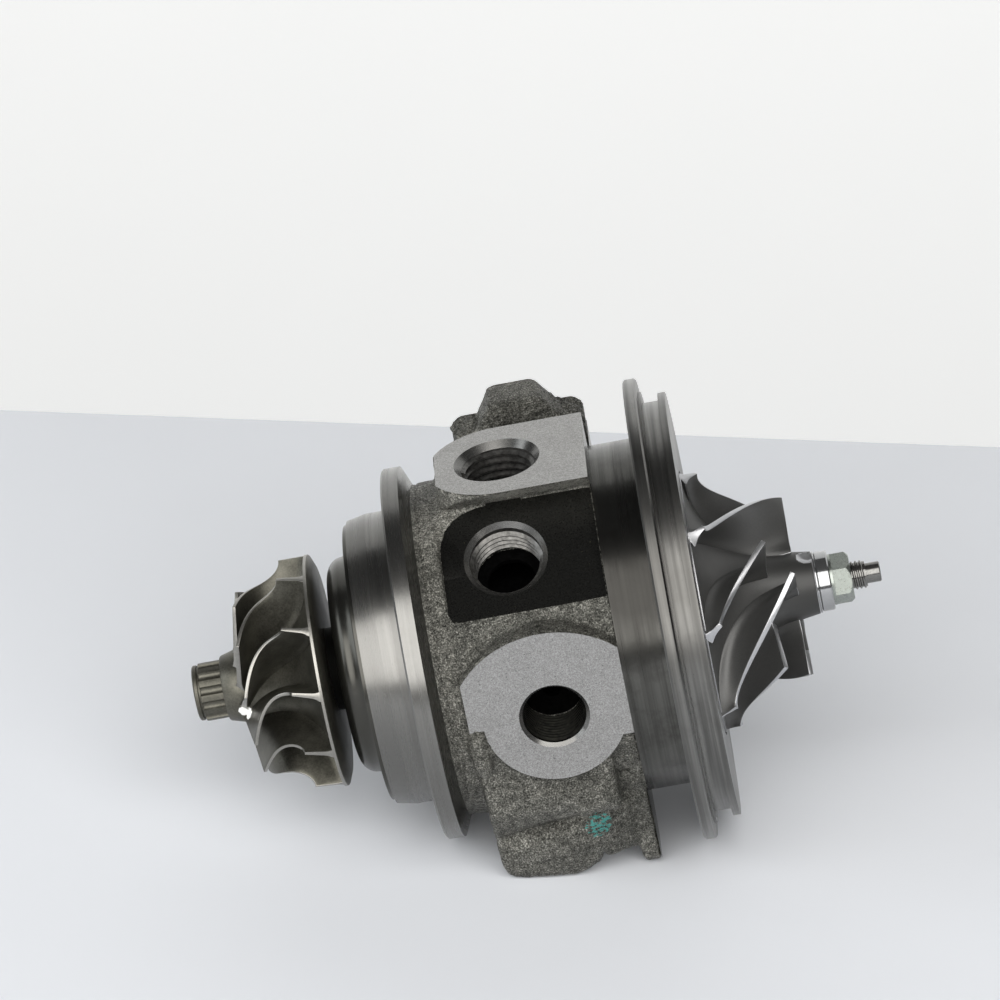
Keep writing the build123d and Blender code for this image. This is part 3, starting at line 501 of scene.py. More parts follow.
# Rings for turnPiece from a piece's own values. Each row is the name of a place and a shift
# along the shaft, then the name of a radius, or "axis" for none, and what is added to it
def namedRings(values, *rows):
    return [(values[x] + dx, values.get(r, 0.0) + dr) for x, dx, r, dr in rows]


def sharedPlace(x, radius, angle):
    a = radians(angle)
    return Vector((x, -radius * cos(a), -radius * sin(a)))


def quarterContour(u, start, end, inletRadius, exitRadius):
    phi = u * pi / 2
    return end + (start - end) * cos(phi), inletRadius - (inletRadius - exitRadius) * sin(phi)


# Stations of a wheel's hub, on the same smooth curve as the solid
def hubStations(rim, nose, rimRadius, noseRadius, steps=30):
    pull = 0.5523
    corners = [(rim, rimRadius), (rim, rimRadius - pull * (rimRadius - noseRadius)),
               (nose - pull * (nose - rim), noseRadius), (nose, noseRadius)]
    made = []
    for i in range(steps + 1):
        t = i / steps
        weights = ((1 - t) ** 3, 3 * t * (1 - t) ** 2, 3 * t * t * (1 - t), t ** 3)
        made.append(tuple(sum(w * c[k] for w, c in zip(weights, corners)) for k in (0, 1)))
    return made


# One blade: a grid set between the hub line and the tip line, given its thickness by Solidify
bladeForm = {"along": 44, "up": 12, "towardsHub": 1.35, "sunk": 0.05, "fullWall": 4.0,
             "edge": 0.09, "edgeAngle": 50}


def bladePiece(hubLine, tipLine, first, spec, finishNames):
    clearSelection()
    bpy.ops.mesh.primitive_grid_add(x_subdivisions=bladeForm["along"],
                                    y_subdivisions=bladeForm["up"], size=1)
    piece = bpy.context.object
    thick = piece.vertex_groups.new(name="thick")
    for vertex in piece.data.vertices:
        t, s = spec["spread"](vertex.co.x + 0.5), vertex.co.y + 0.5
        u = first + (1 - first) * t
        hub = hubLine(u)
        span = tipLine(u) - hub
        s = s ** bladeForm["towardsHub"] * (1 + bladeForm["sunk"]) - bladeForm["sunk"]
        height = max(0.0, s) * span.length
        wall = spec["root"] + (spec["tip"] - spec["root"]) * max(0.0, s)
        wall += spec["flare"] * exp(-(height / spec["fillet"]) ** 1.5)
        vertex.co = (hub + span * s) * mm
        thick.add([vertex.index], min(1.0, wall / bladeForm["fullWall"]), "REPLACE")
    nameFinishes(piece, finishNames)
    shapeWith("SOLIDIFY", thickness=bladeForm["fullWall"] * mm, offset=0.0,
              vertex_group="thick", material_offset_rim=1)
    shapeWith("BEVEL", width=bladeForm["edge"] * mm, segments=2, limit_method="ANGLE",
              angle_limit=radians(bladeForm["edgeAngle"]), material=1)
    closeShape()
    piece.vertex_groups.clear()
    return piece


# Copies of a piece turned round the shaft, joined into one
def ringOf(piece, angles):
    copies = []
    for angle in angles:
        copy = piece.copy()
        copy.data = piece.data.copy()
        copy.data.transform(Matrix.Rotation(radians(angle), 4, "X"))
        bpy.context.scene.collection.objects.link(copy)
        copies.append(copy)
    bpy.data.objects.remove(piece)
    clearSelection()
    for copy in copies:
        copy.select_set(True)
    bpy.context.view_layer.objects.active = copies[0]
    bpy.ops.object.join()
    return bpy.context.object


# Turbine wheel: a full back disc and eleven curved blades
turbine = {
    "back": -16.2, "rim": -17.6, "nose": -34.2, "radius": 22.5, "noseRadius": 7.1,
    "collarEnd": -37.2, "collarRadius": 6.3, "tipStart": -22.8, "exducerTip": -31.9,
    "exducerRadius": 17.8, "blades": 11, "firstBlade": -16.6, "rimGap": 0.12,
    "hubWrap": 57.0, "hubBend": 6.4, "tipWrap": 32.5, "tipBend": 5.2, "tipLag": 3.5,
    "blade": {"root": 1.15, "tip": 0.62, "flare": 0.9, "fillet": 0.6,
              "spread": lambda t: 1 - (1 - t) ** 1.6},
}


def turbineHubLine(u):
    x, r = quarterContour(u, turbine["rim"], turbine["nose"] + 0.4,
                          turbine["radius"] - turbine["rimGap"], turbine["noseRadius"])
    return sharedPlace(x, r, turbine["firstBlade"] + turbine["hubWrap"] * u ** turbine["hubBend"])


def turbineTipLine(u):
    x, r = quarterContour(u, turbine["tipStart"], turbine["exducerTip"],
                          turbine["radius"] - turbine["rimGap"], turbine["exducerRadius"])
    turned = turbine["firstBlade"] + turbine["tipWrap"] * u ** turbine["tipBend"]
    return sharedPlace(x, r, turned - turbine["tipLag"])


hubRings = [(turbine["back"], r) for r in (0, 8, 14, 20.6)]
hubRings += namedRings(turbine, ("back", -0.7, "radius", -0.2), ("back", -0.85, "radius", -0.04),
                       ("back", -0.93, "radius", 0), ("rim", 0.06, "radius", 0))
hubRings += hubStations(turbine["rim"], turbine["nose"], turbine["radius"],
                        turbine["noseRadius"])
hubRings += namedRings(turbine, ("collarEnd", 0.25, "collarRadius", 0.02),
                       ("collarEnd", 0, "collarRadius", -0.22), ("collarEnd", 0, "axis", 0))
turbineHub = turnPiece(hubRings, 200)
nameFinishes(turbineHub, ["turbine", "turbineEdge"])
for face in turbineHub.data.polygons:
    spot = face.center / mm
    if spot.yz.length > turbine["radius"] - 0.06 and spot.x > turbine["rim"] - 0.05:
        face.material_index = 1
finishPiece(turbineHub, "turbineHub", "rotor", 40)

oneBlade = bladePiece(turbineHubLine, turbineTipLine, 0.0, turbine["blade"],
                      ["turbine", "turbineEdge"])
for face in oneBlade.data.polygons:
    if face.material_index == 1 and face.normal.x < -0.8:
        face.material_index = 0
pitch = 360 / turbine["blades"]
turbineBlades = ringOf(oneBlade, [pitch * i for i in range(turbine["blades"])])
finishPiece(turbineBlades, "turbineBlades", "rotor", 35)

# Fluted drive nose with its thin end flange
nose = {"start": -37.2, "end": -41.6, "radius": 5.65, "flutes": 12, "cut": 0.62, "wide": 8.5,
        "neck": 4.9, "flangeStart": -41.95, "flangeEnd": -42.85, "flangeRadius": 5.35,
        "dish": 3.4, "dishFloor": 2.9}
noseRings = namedRings(nose, ("start", 0.3, "axis", 0), ("start", 0.3, "radius", 0))
noseRings += [(nose["start"] - 0.4 - 0.5 * i, nose["radius"]) for i in range(8)]
noseRings += namedRings(
    nose, ("end", 0.12, "radius", -0.02), ("end", 0, "radius", -0.14), ("end", 0, "neck", 0),
    ("flangeStart", 0, "neck", 0), ("flangeStart", 0, "flangeRadius", -0.1),
    ("flangeStart", -0.1, "flangeRadius", 0), ("flangeEnd", 0.25, "flangeRadius", 0),
    ("flangeEnd", 0, "flangeRadius", -0.3), ("flangeEnd", 0, "dish", 0),
    ("flangeEnd", 0.5, "dishFloor", 0), ("flangeEnd", 0.5, "axis", 0))
flutedNose = turnPiece(noseRings, 288)
fluteTurn = 360 / nose["flutes"]
for vertex in flutedNose.data.vertices:
    spot = vertex.co / mm
    if spot.x > nose["end"] - 0.01 and spot.yz.length > nose["neck"] + 0.1:
        turned = degrees(Vector((spot.y, spot.z)).angle_signed(Vector((1, 0)))) % fluteTurn
        off = min(turned, fluteTurn - turned)
        pressIn(vertex, nose["cut"] * sqrt(max(0.0, 1 - (off / nose["wide"]) ** 2)))
nameFinishes(flutedNose, ["turbine"])
finishPiece(flutedNose, "flutedNose", "rotor", 40)
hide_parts("turbine_wheel")
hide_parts("turbine_wheel")
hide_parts("turbine_wheel")
print("turbine wheel done")


# Compressor wheel: four full blades and four splitters on a thin back disc
compressor = {
    "back": 55.35, "rim": 56.15, "exit": 59.05, "inlet": 73.95, "noseEnd": 77.95, "radius": 25.1,
    "inducerRadius": 17.3, "hubRadius": 6.6, "noseRadius": 6.0, "bore": 3.0, "rimGap": 0.12,
    "firstBlade": -37.5, "hubLead": 10.0, "hubWrap": 60.0, "tipWrap": 64.5, "tipBend": 1.9,
    "splitterStart": 0.19, "noseSteps": 14, "darkFrom": 70,
    "notch": {"angle": -86.0, "x": 76.8, "wide": 1.9, "deep": 1.0},
    "blade": {"root": 1.3, "tip": 0.95, "flare": 1.9, "fillet": 1.2, "spread": lambda t: t},
}


def compressorHubLine(u):
    x, r = quarterContour(1 - u, compressor["rim"], compressor["inlet"],
                          compressor["radius"] - compressor["rimGap"], compressor["hubRadius"])
    turned = compressor["firstBlade"] + compressor["hubLead"]
    return sharedPlace(x, r, turned + compressor["hubWrap"] * u)


def compressorTipLine(u):
    x, r = quarterContour(1 - u, compressor["exit"], compressor["inlet"],
                          compressor["radius"] - compressor["rimGap"],
                          compressor["inducerRadius"])
    turned = compressor["tipWrap"] * (1 - (1 - u) ** compressor["tipBend"])
    return sharedPlace(x, r, compressor["firstBlade"] + turned)


# The balancing notch in the nose: how far a spot of the hub is from its middle
def fromNotch(spot):
    notch = compressor["notch"]
    return (spot - sharedPlace(notch["x"], spot.yz.length, notch["angle"])).length


wheelRings = namedRings(
    compressor, ("back", 0, "bore", 0), ("back", 0, "bore", 9), ("back", 0, "radius", -0.2),
    ("back", 0.15, "radius", -0.02), ("rim", -0.1, "radius", 0))
wheelRings += hubStations(compressor["rim"], compressor["inlet"], compressor["radius"],
                          compressor["hubRadius"])
noseLength = compressor["noseEnd"] - 0.2 - compressor["inlet"]
for i in range(1, compressor["noseSteps"] + 1):
    share = i / compressor["noseSteps"]
    narrower = (compressor["noseRadius"] - compressor["hubRadius"]) * share
    wheelRings.append((compressor["inlet"] + noseLength * share,
                       compressor["hubRadius"] + narrower))
wheelRings += namedRings(compressor, ("noseEnd", 0, "noseRadius", -0.2),
                         ("noseEnd", 0, "bore", 0))
compressorHub = turnPiece(wheelRings, 200, True)
notch = compressor["notch"]
for vertex in compressorHub.data.vertices:
    spot = vertex.co / mm
    if spot.x > compressor["inlet"] - 1 and spot.yz.length > 5.0:
        away = fromNotch(spot)
        pressIn(vertex, notch["deep"] * max(0.0, 1 - (away / notch["wide"]) ** 2))
nameFinishes(compressorHub, ["wheel", "wheelEdge"])
for face in compressorHub.data.polygons:
    spot = face.center / mm
    onRim = spot.yz.length > compressor["radius"] - 0.2 and spot.x < compressor["rim"]
    onNose = spot.x > compressor["inlet"] and spot.yz.length > 4.5
    inNotch = onNose and fromNotch(spot) < notch["wide"]
    if spot.x > compressor["noseEnd"] - 0.1 or onRim or inNotch:
        face.material_index = 1
finishPiece(compressorHub, "compressorHub", "rotor", 40)


# The blades' leading edges keep the dark skin, and only the turned tips are bright
def darkLeadingEdge(piece):
    for face in piece.data.polygons:
        isFront = face.normal.x > 0.75 and face.center.x > compressor["darkFrom"] * mm
        if face.material_index == 1 and isFront:
            face.material_index = 0


bladeFinishes = ["wheel", "wheelEdge"]
fullBlade = bladePiece(compressorHubLine, compressorTipLine, 0.0, compressor["blade"],
                       bladeFinishes)
darkLeadingEdge(fullBlade)
fullBlades = ringOf(fullBlade, [0, 90, 180, 270])
finishPiece(fullBlades, "compressorBlades", "rotor", 35)
splitter = bladePiece(compressorHubLine, compressorTipLine, compressor["splitterStart"],
                      compressor["blade"], bladeFinishes)
darkLeadingEdge(splitter)
splitterBlades = ringOf(splitter, [45, 135, 225, 315])
finishPiece(splitterBlades, "splitterBlades", "rotor", 35)
for piece in (compressorHub, fullBlades, splitterBlades):
    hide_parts("compressor_wheel")
print("compressor wheel done")


# The housing: cast iron, with ground pads, turned flanges and drilled holes
housing = {
    "castingStart": 9.4, "castingEnd": 39.6, "neckStart": 5.4, "drumEnd": 48.3,
    "sideAngle": 57.5, "chamferWide": 1.4, "chamferDeep": 1.6,
    "sink": 0.9, "core": 29.0, "coreBelow": -18, "coreBeyond": 20, "padEdge": 0.2,
}
sideTurn = radians(housing["sideAngle"])
sideNormal = Vector((0, -cos(sideTurn), sin(sideTurn)))
sideUp = Vector((0, sin(sideTurn), cos(sideTurn)))

# Each port's axis, its place along the shaft, its radius, its pad's plane and its inner end
ports = {
    "inlet": {"axis": Vector((0, -1, 0)), "x": 25.6, "radius": 6.0, "plane": 33.2,
              "floor": 22.4, "face": "pad", "bore": "shadedHole"},
    "side": {"axis": sideNormal, "x": 21.7, "radius": 7.0, "plane": 30.6,
             "floor": 21.6, "face": "paintedShadePad", "bore": "hole"},
    "top": {"axis": Vector((0, 0, 1)), "x": 22.8, "radius": 7.0, "plane": 38.1,
            "floor": 26.1, "face": "pad", "bore": "hole"},
    "drain": {"axis": Vector((0, 1, 0)), "x": 26.6, "radius": 8.5, "plane": 34.0,
              "floor": 18.0, "face": "pad", "bore": "hole"},
}
housingFinishes = ["rough", "pad", "turned", "drum", "hole", "deep", "chamfer", "paintedShadePad",
                   "shadedHole", "disc"]


# The finish of a face of the housing, from its place and the way that it faces
def housingFinish(place, normal):
    spread = place.yz.length
    isCast = housing["castingStart"] - 0.05 < place.x < housing["castingEnd"] + 0.05
    for port in ports.values():
        onPlane = abs(place.dot(port["axis"]) - port["plane"]) < 0.05
        if isCast and onPlane and normal.dot(port["axis"]) > 0.99:
            return port["face"]
    for port in ports.values():
        height = place.dot(port["axis"])
        across = place - Vector((port["x"], 0, 0))
        across -= port["axis"] * across.dot(port["axis"])
        fromWall = across.length - port["radius"]
        if 0 < height < port["plane"] + 0.01 and fromWall < housing["chamferWide"]:
            slopes = 0.5 < normal.dot(port["axis"]) < 0.9
            if slopes and height > port["plane"] - housing["chamferDeep"]:
                return "chamfer"
            if fromWall < 0.1 and height > port["floor"] - 0.1 and spread > 15:
                # Painted shade: a port's inner end gets the black passage finish
                return "deep" if height < port["floor"] + 0.2 else port["bore"]
    if place.x > housing["castingEnd"] - 0.05:
        if spread > 30:
            return "drum" if place.x < housing["drumEnd"] else "disc"
        return "turned"
    if place.x < housing["castingStart"] - 0.05 and spread > 19:
        return "rough" if place.x > housing["neckStart"] and spread > 31 else "turned"
    # Painted shade: the inner bore gets the black passage finish
    return "deep" if spread < 22 else "rough"


castHousing = nodeCopy("bearing_housing")
nameFinishes(castHousing, housingFinishes)
for face in castHousing.data.polygons:
    finishName = housingFinish(face.center / mm, face.normal)
    face.material_index = housingFinishes.index(finishName)

# The rough-cast faces get a skin of their own, so the solid's plain ones are sunk below it
facePlaces = [v.co.copy() for v in castHousing.data.vertices]
facePolygons = [tuple(f.vertices) for f in castHousing.data.polygons]
faceKinds = [f.material_index for f in castHousing.data.polygons]
nearestFace = BVHTree.FromPolygons(facePlaces, facePolygons)
touching = {}
for face in castHousing.data.polygons:
    for index in face.vertices:
        touching.setdefault(index, set()).add(face.material_index)
sunk = [(v, v.normal.copy()) for v in castHousing.data.vertices if touching.get(v.index) == {0}]
for vertex, normal in sunk:
    vertex.co -= normal * housing["sink"] * mm
    spread = vertex.co.yz.length / mm
    inLeg = vertex.co.z < housing["coreBelow"] * mm or vertex.co.y > housing["coreBeyond"] * mm
    if spread > housing["core"] + 5 and inLeg:
        vertex.co.y *= housing["core"] / spread
        vertex.co.z *= housing["core"] / spread
    vertex.co.z = min(vertex.co.z, (ports["top"]["plane"] - housing["padEdge"]) * mm)
    vertex.co.y = max(vertex.co.y, (housing["padEdge"] - ports["inlet"]["plane"]) * mm)
finishPiece(castHousing, "castHousing", "housing", 32)

castSkin = nodeCopy("bearing_housing")

# Rough cast forms that grow into the skin: shoulders beside the top hump, a closed end on each
# bolt hole, the wide bulge of the leg, its foot lobe and the rounded rim left of the inlet pad
casting = {
    "cell": 0.52, "proud": 0.10, "under": 0.30, "offSolid": 0.9, "rounding": 18,
    "grain": (1.25, 0.13), "lumps": (0.42, 0.16), "crust": (0.75, 1.7, 0.62),
    "shoulderLow": (18.4, 35.9, 30.6), "shoulderHigh": (21.9, 31.4, 36.6),
    "shoulderDeep": (26.3, 33.6),
    "holeEnd": {"x": 26.6, "y": 27.5, "z": (30.0, -30.0), "radius": 4.0, "depth": 2.6},
    "bulge": ((26.5, 34.4), (-31.3, -22.0), (-24.2, -9.0)),
    "lobe": {"x": (28.0, 35.8), "z": (-37.4, -24.2), "back": -18.0,
             "front": ((-24.9, -28.9), (-22.6, -27.0))},
    "rim": ((10.6, -32.7, -5.2), (2.0, 1.9, 5.6)),
}


def shoulderPlace(right, far, high):
    lowX, highX, z = casting["shoulderHigh" if high else "shoulderLow"]
    return highX if right else lowX, casting["shoulderDeep"][far], z


def bulgePlace(*sides):
    return [pair[side] for pair, side in zip(casting["bulge"], sides)]


def lobePlace(right, far, high):
    form = casting["lobe"]
    return form["x"][right], form["back"] if far else form["front"][right][high], form["z"][high]


extras = [cornerBlock(shoulderPlace)]
holeEnd = casting["holeEnd"]
for z in holeEnd["z"]:
    clearSelection()
    bpy.ops.mesh.primitive_cylinder_add(
        vertices=24, radius=holeEnd["radius"] * mm, depth=holeEnd["depth"] * mm,
        location=(holeEnd["x"] * mm, holeEnd["y"] * mm, z * mm), rotation=(pi / 2, 0, 0))
    extras.append(bpy.context.object)
extras += [cornerBlock(bulgePlace), cornerBlock(lobePlace)]
clearSelection()
bpy.ops.mesh.primitive_uv_sphere_add(segments=24, ring_count=16, radius=1)
rimLump = bpy.context.object
for vertex in rimLump.data.vertices:
    centre, reach = casting["rim"]
    vertex.co = Vector([centre[i] + vertex.co[i] * reach[i] for i in range(3)]) * mm
extras.append(rimLump)
selectOnly(castSkin)
for place, way in ((housing["neckStart"] + 0.5, -1), (housing["castingEnd"], 1)):
    bpy.ops.object.mode_set(mode="EDIT")
    bpy.ops.mesh.select_all(action="SELECT")
    bpy.ops.mesh.bisect(plane_co=(place * mm, 0, 0), plane_no=(way, 0, 0), use_fill=True,
                        clear_outer=True)
    bpy.ops.object.mode_set(mode="OBJECT")
for extra in extras:
    extra.select_set(True)
bpy.ops.object.join()
shapeWith("REMESH", mode="VOXEL", voxel_size=casting["cell"] * mm)
print("cast skin points:", len(castSkin.data.vertices))


# Which points of the skin are rough, found from the nearest face of the solid
def isRough(point):
    index, away = nearestFace.find_nearest(point)[2:]
    return faceKinds[index] == 0 or away > casting["offSolid"] * mm


roughness = [1.0 if isRough(v.co) else 0.0 for v in castSkin.data.vertices]

# The cast leg, shaped as by hand: a bulge below the inlet pad, a crease and a round toe. Each
# form has its height, its place and width along the shaft, its place and width up, and its slope
castLeg = {
    "top": -9, "fade": 6, "deepest": -3, "right": 39.9, "front": -17, "slopeFrom": 19,
    "forms": [(1.1, 22, 9.5, -20, 4.5, 0), (-3.0, 20, 14.5, -26.8, 1.5, 0.17),
              (1.3, 22, 9.5, -32.5, 4.0, 0), (-2.4, 35.6, 1.3, -17.5, 7.0, 0)],
    "sole": {"below": -33, "left": 22.5, "right": 29.3, "lift": 0.11, "bend": 1.7, "fade": 5},
    "softBelow": -13, "softBefore": 2, "hump": (0.35, 31, 20),
}


def hill(value, centre, wide):
    return exp(-((value - centre) / wide) ** 2)


def legShape(spot):
    x, y, z = spot
    if z > castLeg["top"] or y > castLeg["deepest"] or x > castLeg["right"]:
        return spot
    out = 0.0
    for high, alongX, wideX, upZ, wideZ, slope in castLeg["forms"]:
        middle = upZ + slope * (x - castLeg["slopeFrom"])
        out += high * hill(x, alongX, wideX) * hill(z, middle, wideZ)
    if y < castLeg["front"]:
        y -= out * clamp((castLeg["top"] - z) / castLeg["fade"])
    sole = castLeg["sole"]
    if z < sole["below"] and sole["left"] < x < sole["right"]:
        lift = sole["lift"] * (x - sole["left"]) ** sole["bend"]
        z += lift * min(1.0, (sole["below"] - z) / sole["fade"])
    return Vector((x, y, z))


soft = castSkin.vertex_groups.new(name="soft")
humpSoft, humpAbove, humpBeyond = castLeg["hump"]
for vertex, rough in zip(castSkin.data.vertices, roughness):
    if rough:
        vertex.co = legShape(vertex.co / mm) * mm
    spot = vertex.co / mm
    leg = clamp((castLeg["softBelow"] - spot.z) / castLeg["fade"])
    leg = leg if spot.y < castLeg["softBefore"] else 0.0
    hump = humpSoft if spot.z > humpAbove and spot.y > humpBeyond else 0.0
    soft.add([vertex.index], rough * max(leg, hump), "REPLACE")
selectOnly(castSkin)
shapeWith("SMOOTH", factor=0.5, iterations=casting["rounding"], vertex_group="soft")
castSkin.vertex_groups.clear()


# How far the rough skin stands out at a place: grains, lumps and a crust beside the top hump
def castRelief(spot):
    scale, high = casting["grain"]
    fine = noise.noise(spot * scale) * high
    scale, high = casting["lumps"]
    wide = noise.noise(spot * scale + Vector((7, 3, 1))) * high
    crust = 0.0
    if spot.z > 29 and spot.y > 18:
        scale, fineScale, high = casting["crust"]
        beside = clamp((abs(spot.x - ports["drain"]["x"]) - 6.5) / 2.0, low=0.12)
        crust = noise.noise(spot * scale + Vector((1, 9, 4)))
        crust = (crust + noise.noise(spot * fineScale) * 0.7 - 0.1) * high * beside
    return casting["proud"] + fine + wide + crust


# Outline of the sloping pad on its own plane: a rounded upper corner and a small lower one
sidePad = {"left": 9.5, "right": 26, "top": 12.3, "bottom": -11.9, "centre": 21.7,
           "reach": 12.25, "bow": 2.4, "corner": 2.6, "soft": 0.45, "level": 0.6,
           "plate": {"wide": 4.0, "tall": 9.5, "thick": 0.7, "proud": 0.02}}


# How much of the rough skin shows at a point beside the sloping pad: 0 inside its outline
def besidePad(spot):
    t = spot.dot(sideUp)
    level = spot.dot(sideNormal) - ports["side"]["plane"]
    if abs(level) > sidePad["level"] or not sidePad["left"] - 0.5 < spot.x < sidePad["right"]:
        return None
    if not sidePad["bottom"] - 0.3 < t < sidePad["top"] + 0.1:
        return None
    inward = min(1.2, spot.x - sidePad["left"])
    if t > 0 and spot.x < sidePad["centre"]:
        reach, bow = sidePad["reach"], sidePad["bow"]
        across, up = (sidePad["centre"] - spot.x) / reach, t / reach
        inward = (1 - (across ** bow + up ** bow) ** (1 / bow)) * reach
    lowX = sidePad["left"] + sidePad["corner"] - spot.x
    lowT = sidePad["bottom"] + sidePad["corner"] - t
    if lowX > 0 and lowT > 0:
        inward = min(inward, sidePad["corner"] - sqrt(lowX * lowX + lowT * lowT))
    return clamp(0.5 - inward / sidePad["soft"] / 2)


normals = [v.normal.copy() for v in castSkin.data.vertices]
for vertex, normal, rough in zip(castSkin.data.vertices, normals, roughness):
    spot = vertex.co / mm
    share = besidePad(spot)
    share = rough if share is None else share
    move = share * castRelief(spot) - (1 - share) * casting["under"]
    vertex.co += normal * move * mm
    vertex.co.x = min(vertex.co.x, (housing["castingEnd"] - 0.03) * mm)
nameFinishes(castSkin, ["rough"])
finishPiece(castSkin, "castSkin", "housing", 75)

# Two thin plates close the gap between the top port and the recess above the sloping pad
portWall = {"x": (18.4, 27.2), "corner": 12.5, "reach": 1.75, "thick": 0.34,
            "lip": (-13.5, 38.1), "low": (-0.3, 0.03), "high": (0.0, -0.12)}
cornerPlace = sideNormal * ports["side"]["plane"] + sideUp * portWall["corner"]
lipWay = (Vector((0, *portWall["lip"])) - cornerPlace).normalized()
lipInward = Vector((0, lipWay.z, -lipWay.y))
walls = []


def wallPlace(way, inward, start, outside, right, far, high):
    along = portWall["reach"] if far else start
    under = portWall["thick"] if high else outside
    return cornerPlace + way * along + inward * under + Vector((portWall["x"][right], 0, 0))


for finishName, way, inward, ends in (("paintedShadePad", -sideUp, -sideNormal, portWall["low"]),
                                      ("rough", lipWay, lipInward, portWall["high"])):
    wall = cornerBlock(lambda *sides: wallPlace(way, inward, *ends, *sides))
    closeShape()
    nameFinishes(wall, [finishName])
    walls.append(wall)


# A thin plate fills the pad's lower left corner, where the casting's edge falls away
def platePlace(right, far, high):
    plate = sidePad["plate"]
    x = sidePad["left"] + (plate["wide"] if right else 0.0)
    t = sidePad["bottom"] + (plate["tall"] if far else 0.02)
    level = ports["side"]["plane"] + (plate["proud"] if high else -plate["thick"])
    return sideNormal * level + sideUp * t + Vector((x, 0, 0))


def atCorner(vertex):
    spot = vertex.co / mm
    return spot.x < sidePad["left"] + 1 and spot.dot(sideUp) < sidePad["bottom"] + 1


cornerPlate = cornerBlock(platePlace)
corners = cornerPlate.data.vertices
for face in cornerPlate.data.polygons:
    face.select = False
for edge in cornerPlate.data.edges:
    edge.select = all(atCorner(corners[i]) for i in edge.vertices)
for vertex in corners:
    vertex.select = atCorner(vertex)
bpy.ops.object.mode_set(mode="EDIT")
bpy.ops.mesh.select_mode(type="EDGE")
bpy.ops.mesh.bevel(offset=sidePad["corner"] * mm, segments=8, affect="EDGES")
closeShape()
nameFinishes(cornerPlate, ["paintedShadePad"])
walls.append(cornerPlate)
for wall, name in zip(walls, ("portWallLow", "portWallHigh", "padCorner")):
    finishPiece(wall, name, "housing", 30)
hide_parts("bearing_housing")
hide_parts("bearing_housing")
for wall in walls:
    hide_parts("bearing_housing")
print("housing done")


# Heat shield: a pressed sheet with a rounded shoulder
shield = {"front": -13.8, "back": -9.1, "seat": -8.3, "dome": 20.9, "side": 21.6, "corner": 3.2,
          "flange": 26.7, "hole": 9.0, "thick": 0.8, "steps": 8}


# Points of the rounded shoulder, from the front face to the side
def shoulderArc(radius):
    bendX, bendR = shield["front"] + shield["corner"], shield["dome"] - shield["corner"]
    angles = [i / shield["steps"] * pi / 2 for i in range(shield["steps"] + 1)]
    return [(bendX - radius * cos(a), bendR + radius * sin(a)) for a in angles]


shieldRings = namedRings(shield, ("front", 0.1, "hole", 0), ("front", 0, "hole", 0.15))
shieldRings += shoulderArc(shield["corner"])
shieldRings += namedRings(
    shield, ("back", -0.35, "side", -0.07), ("back", -0.1, "side", 0.12),
    ("back", 0, "side", 0.45), ("back", 0, "flange", -0.12), ("back", 0.12, "flange", 0),
    ("seat", -0.02, "flange", 0), ("seat", -0.02, "dome", -0.1))
shieldRings += reversed(shoulderArc(shield["corner"] - shield["thick"]))
shieldRings += namedRings(shield, ("front", shield["thick"], "hole", 0))
heatShield = turnPiece(shieldRings, 220, True)
nameFinishes(heatShield, ["shield"])
finishPiece(heatShield, "heatShield", "housing", 30)
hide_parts("heat_shield")
print("heat shield done")


# Screw threads: a ridge wound round an axis, inside a port or on the shaft end. A ridge that
# stands outwards has a depth below 0
threads = {
    "inletThread": {"port": "inlet", "from": 22.8, "turns": 9, "depth": 0.5, "pitch": 1.0},
    "sideThread": {"port": "side", "from": 22.9, "turns": 4, "depth": 0.72, "pitch": 1.5},
    "topThread": {"port": "top", "from": 27.2, "turns": 6, "depth": 0.72, "pitch": 1.5},
    "shaftThread": {"from": 84.95, "turns": 3, "depth": -0.28, "pitch": 0.8, "radius": 2.45},
    "foot": 0.10, "footWide": 0.46, "crestWide": 0.09, "steps": 40,
    "recess": {"z": (30.8, 34.5), "y": -5.2},
}


def threadPiece(name, axis, centre, radius, body, finishName):
    spec = threads[name]
    clearSelection()
    bpy.ops.mesh.primitive_circle_add(vertices=4, radius=1.0 * mm, fill_type="NOTHING")
    piece = bpy.context.object
    foot = threads["foot"] if spec["depth"] > 0 else -threads["foot"]
    corners = [(foot, threads["footWide"]), (foot, -threads["footWide"]),
               (-spec["depth"], -threads["crestWide"]), (-spec["depth"], threads["crestWide"])]
    for vertex, (outward, along) in zip(piece.data.vertices, corners):
        vertex.co = Vector(((radius + outward) * mm, 0, along * spec["pitch"] * mm))
    shapeWith("SCREW", axis="Z", steps=threads["steps"], render_steps=threads["steps"],
              screw_offset=spec["pitch"] * mm, iterations=spec["turns"])
    closeShape(merge=0.002, ends=4)
    turn = axis.to_track_quat("Z", "Y").to_matrix().to_4x4()
    start = Vector(centre) + axis * spec["from"]
    piece.data.transform(Matrix.Translation(start * mm) @ turn)
    nameFinishes(piece, [finishName])
    finishPiece(piece, name, body, 35)
    return piece


for threadName in ("inletThread", "sideThread", "topThread"):
    port = ports[threads[threadName]["port"]]
    made = threadPiece(threadName, port["axis"], (port["x"], 0, 0), port["radius"], "housing",
                       port["bore"])
recess = threads["recess"]  # the top thread ends where the recess cuts into its port
for vertex in made.data.vertices:
    if recess["z"][0] * mm < vertex.co.z < recess["z"][1] * mm:
        vertex.co.y = max(vertex.co.y, recess["y"] * mm)
threadPiece("shaftThread", Vector((1, 0, 0)), (0, 0, 0), threads["shaftThread"]["radius"],
            "rotor", "shaft")
print("threads done")


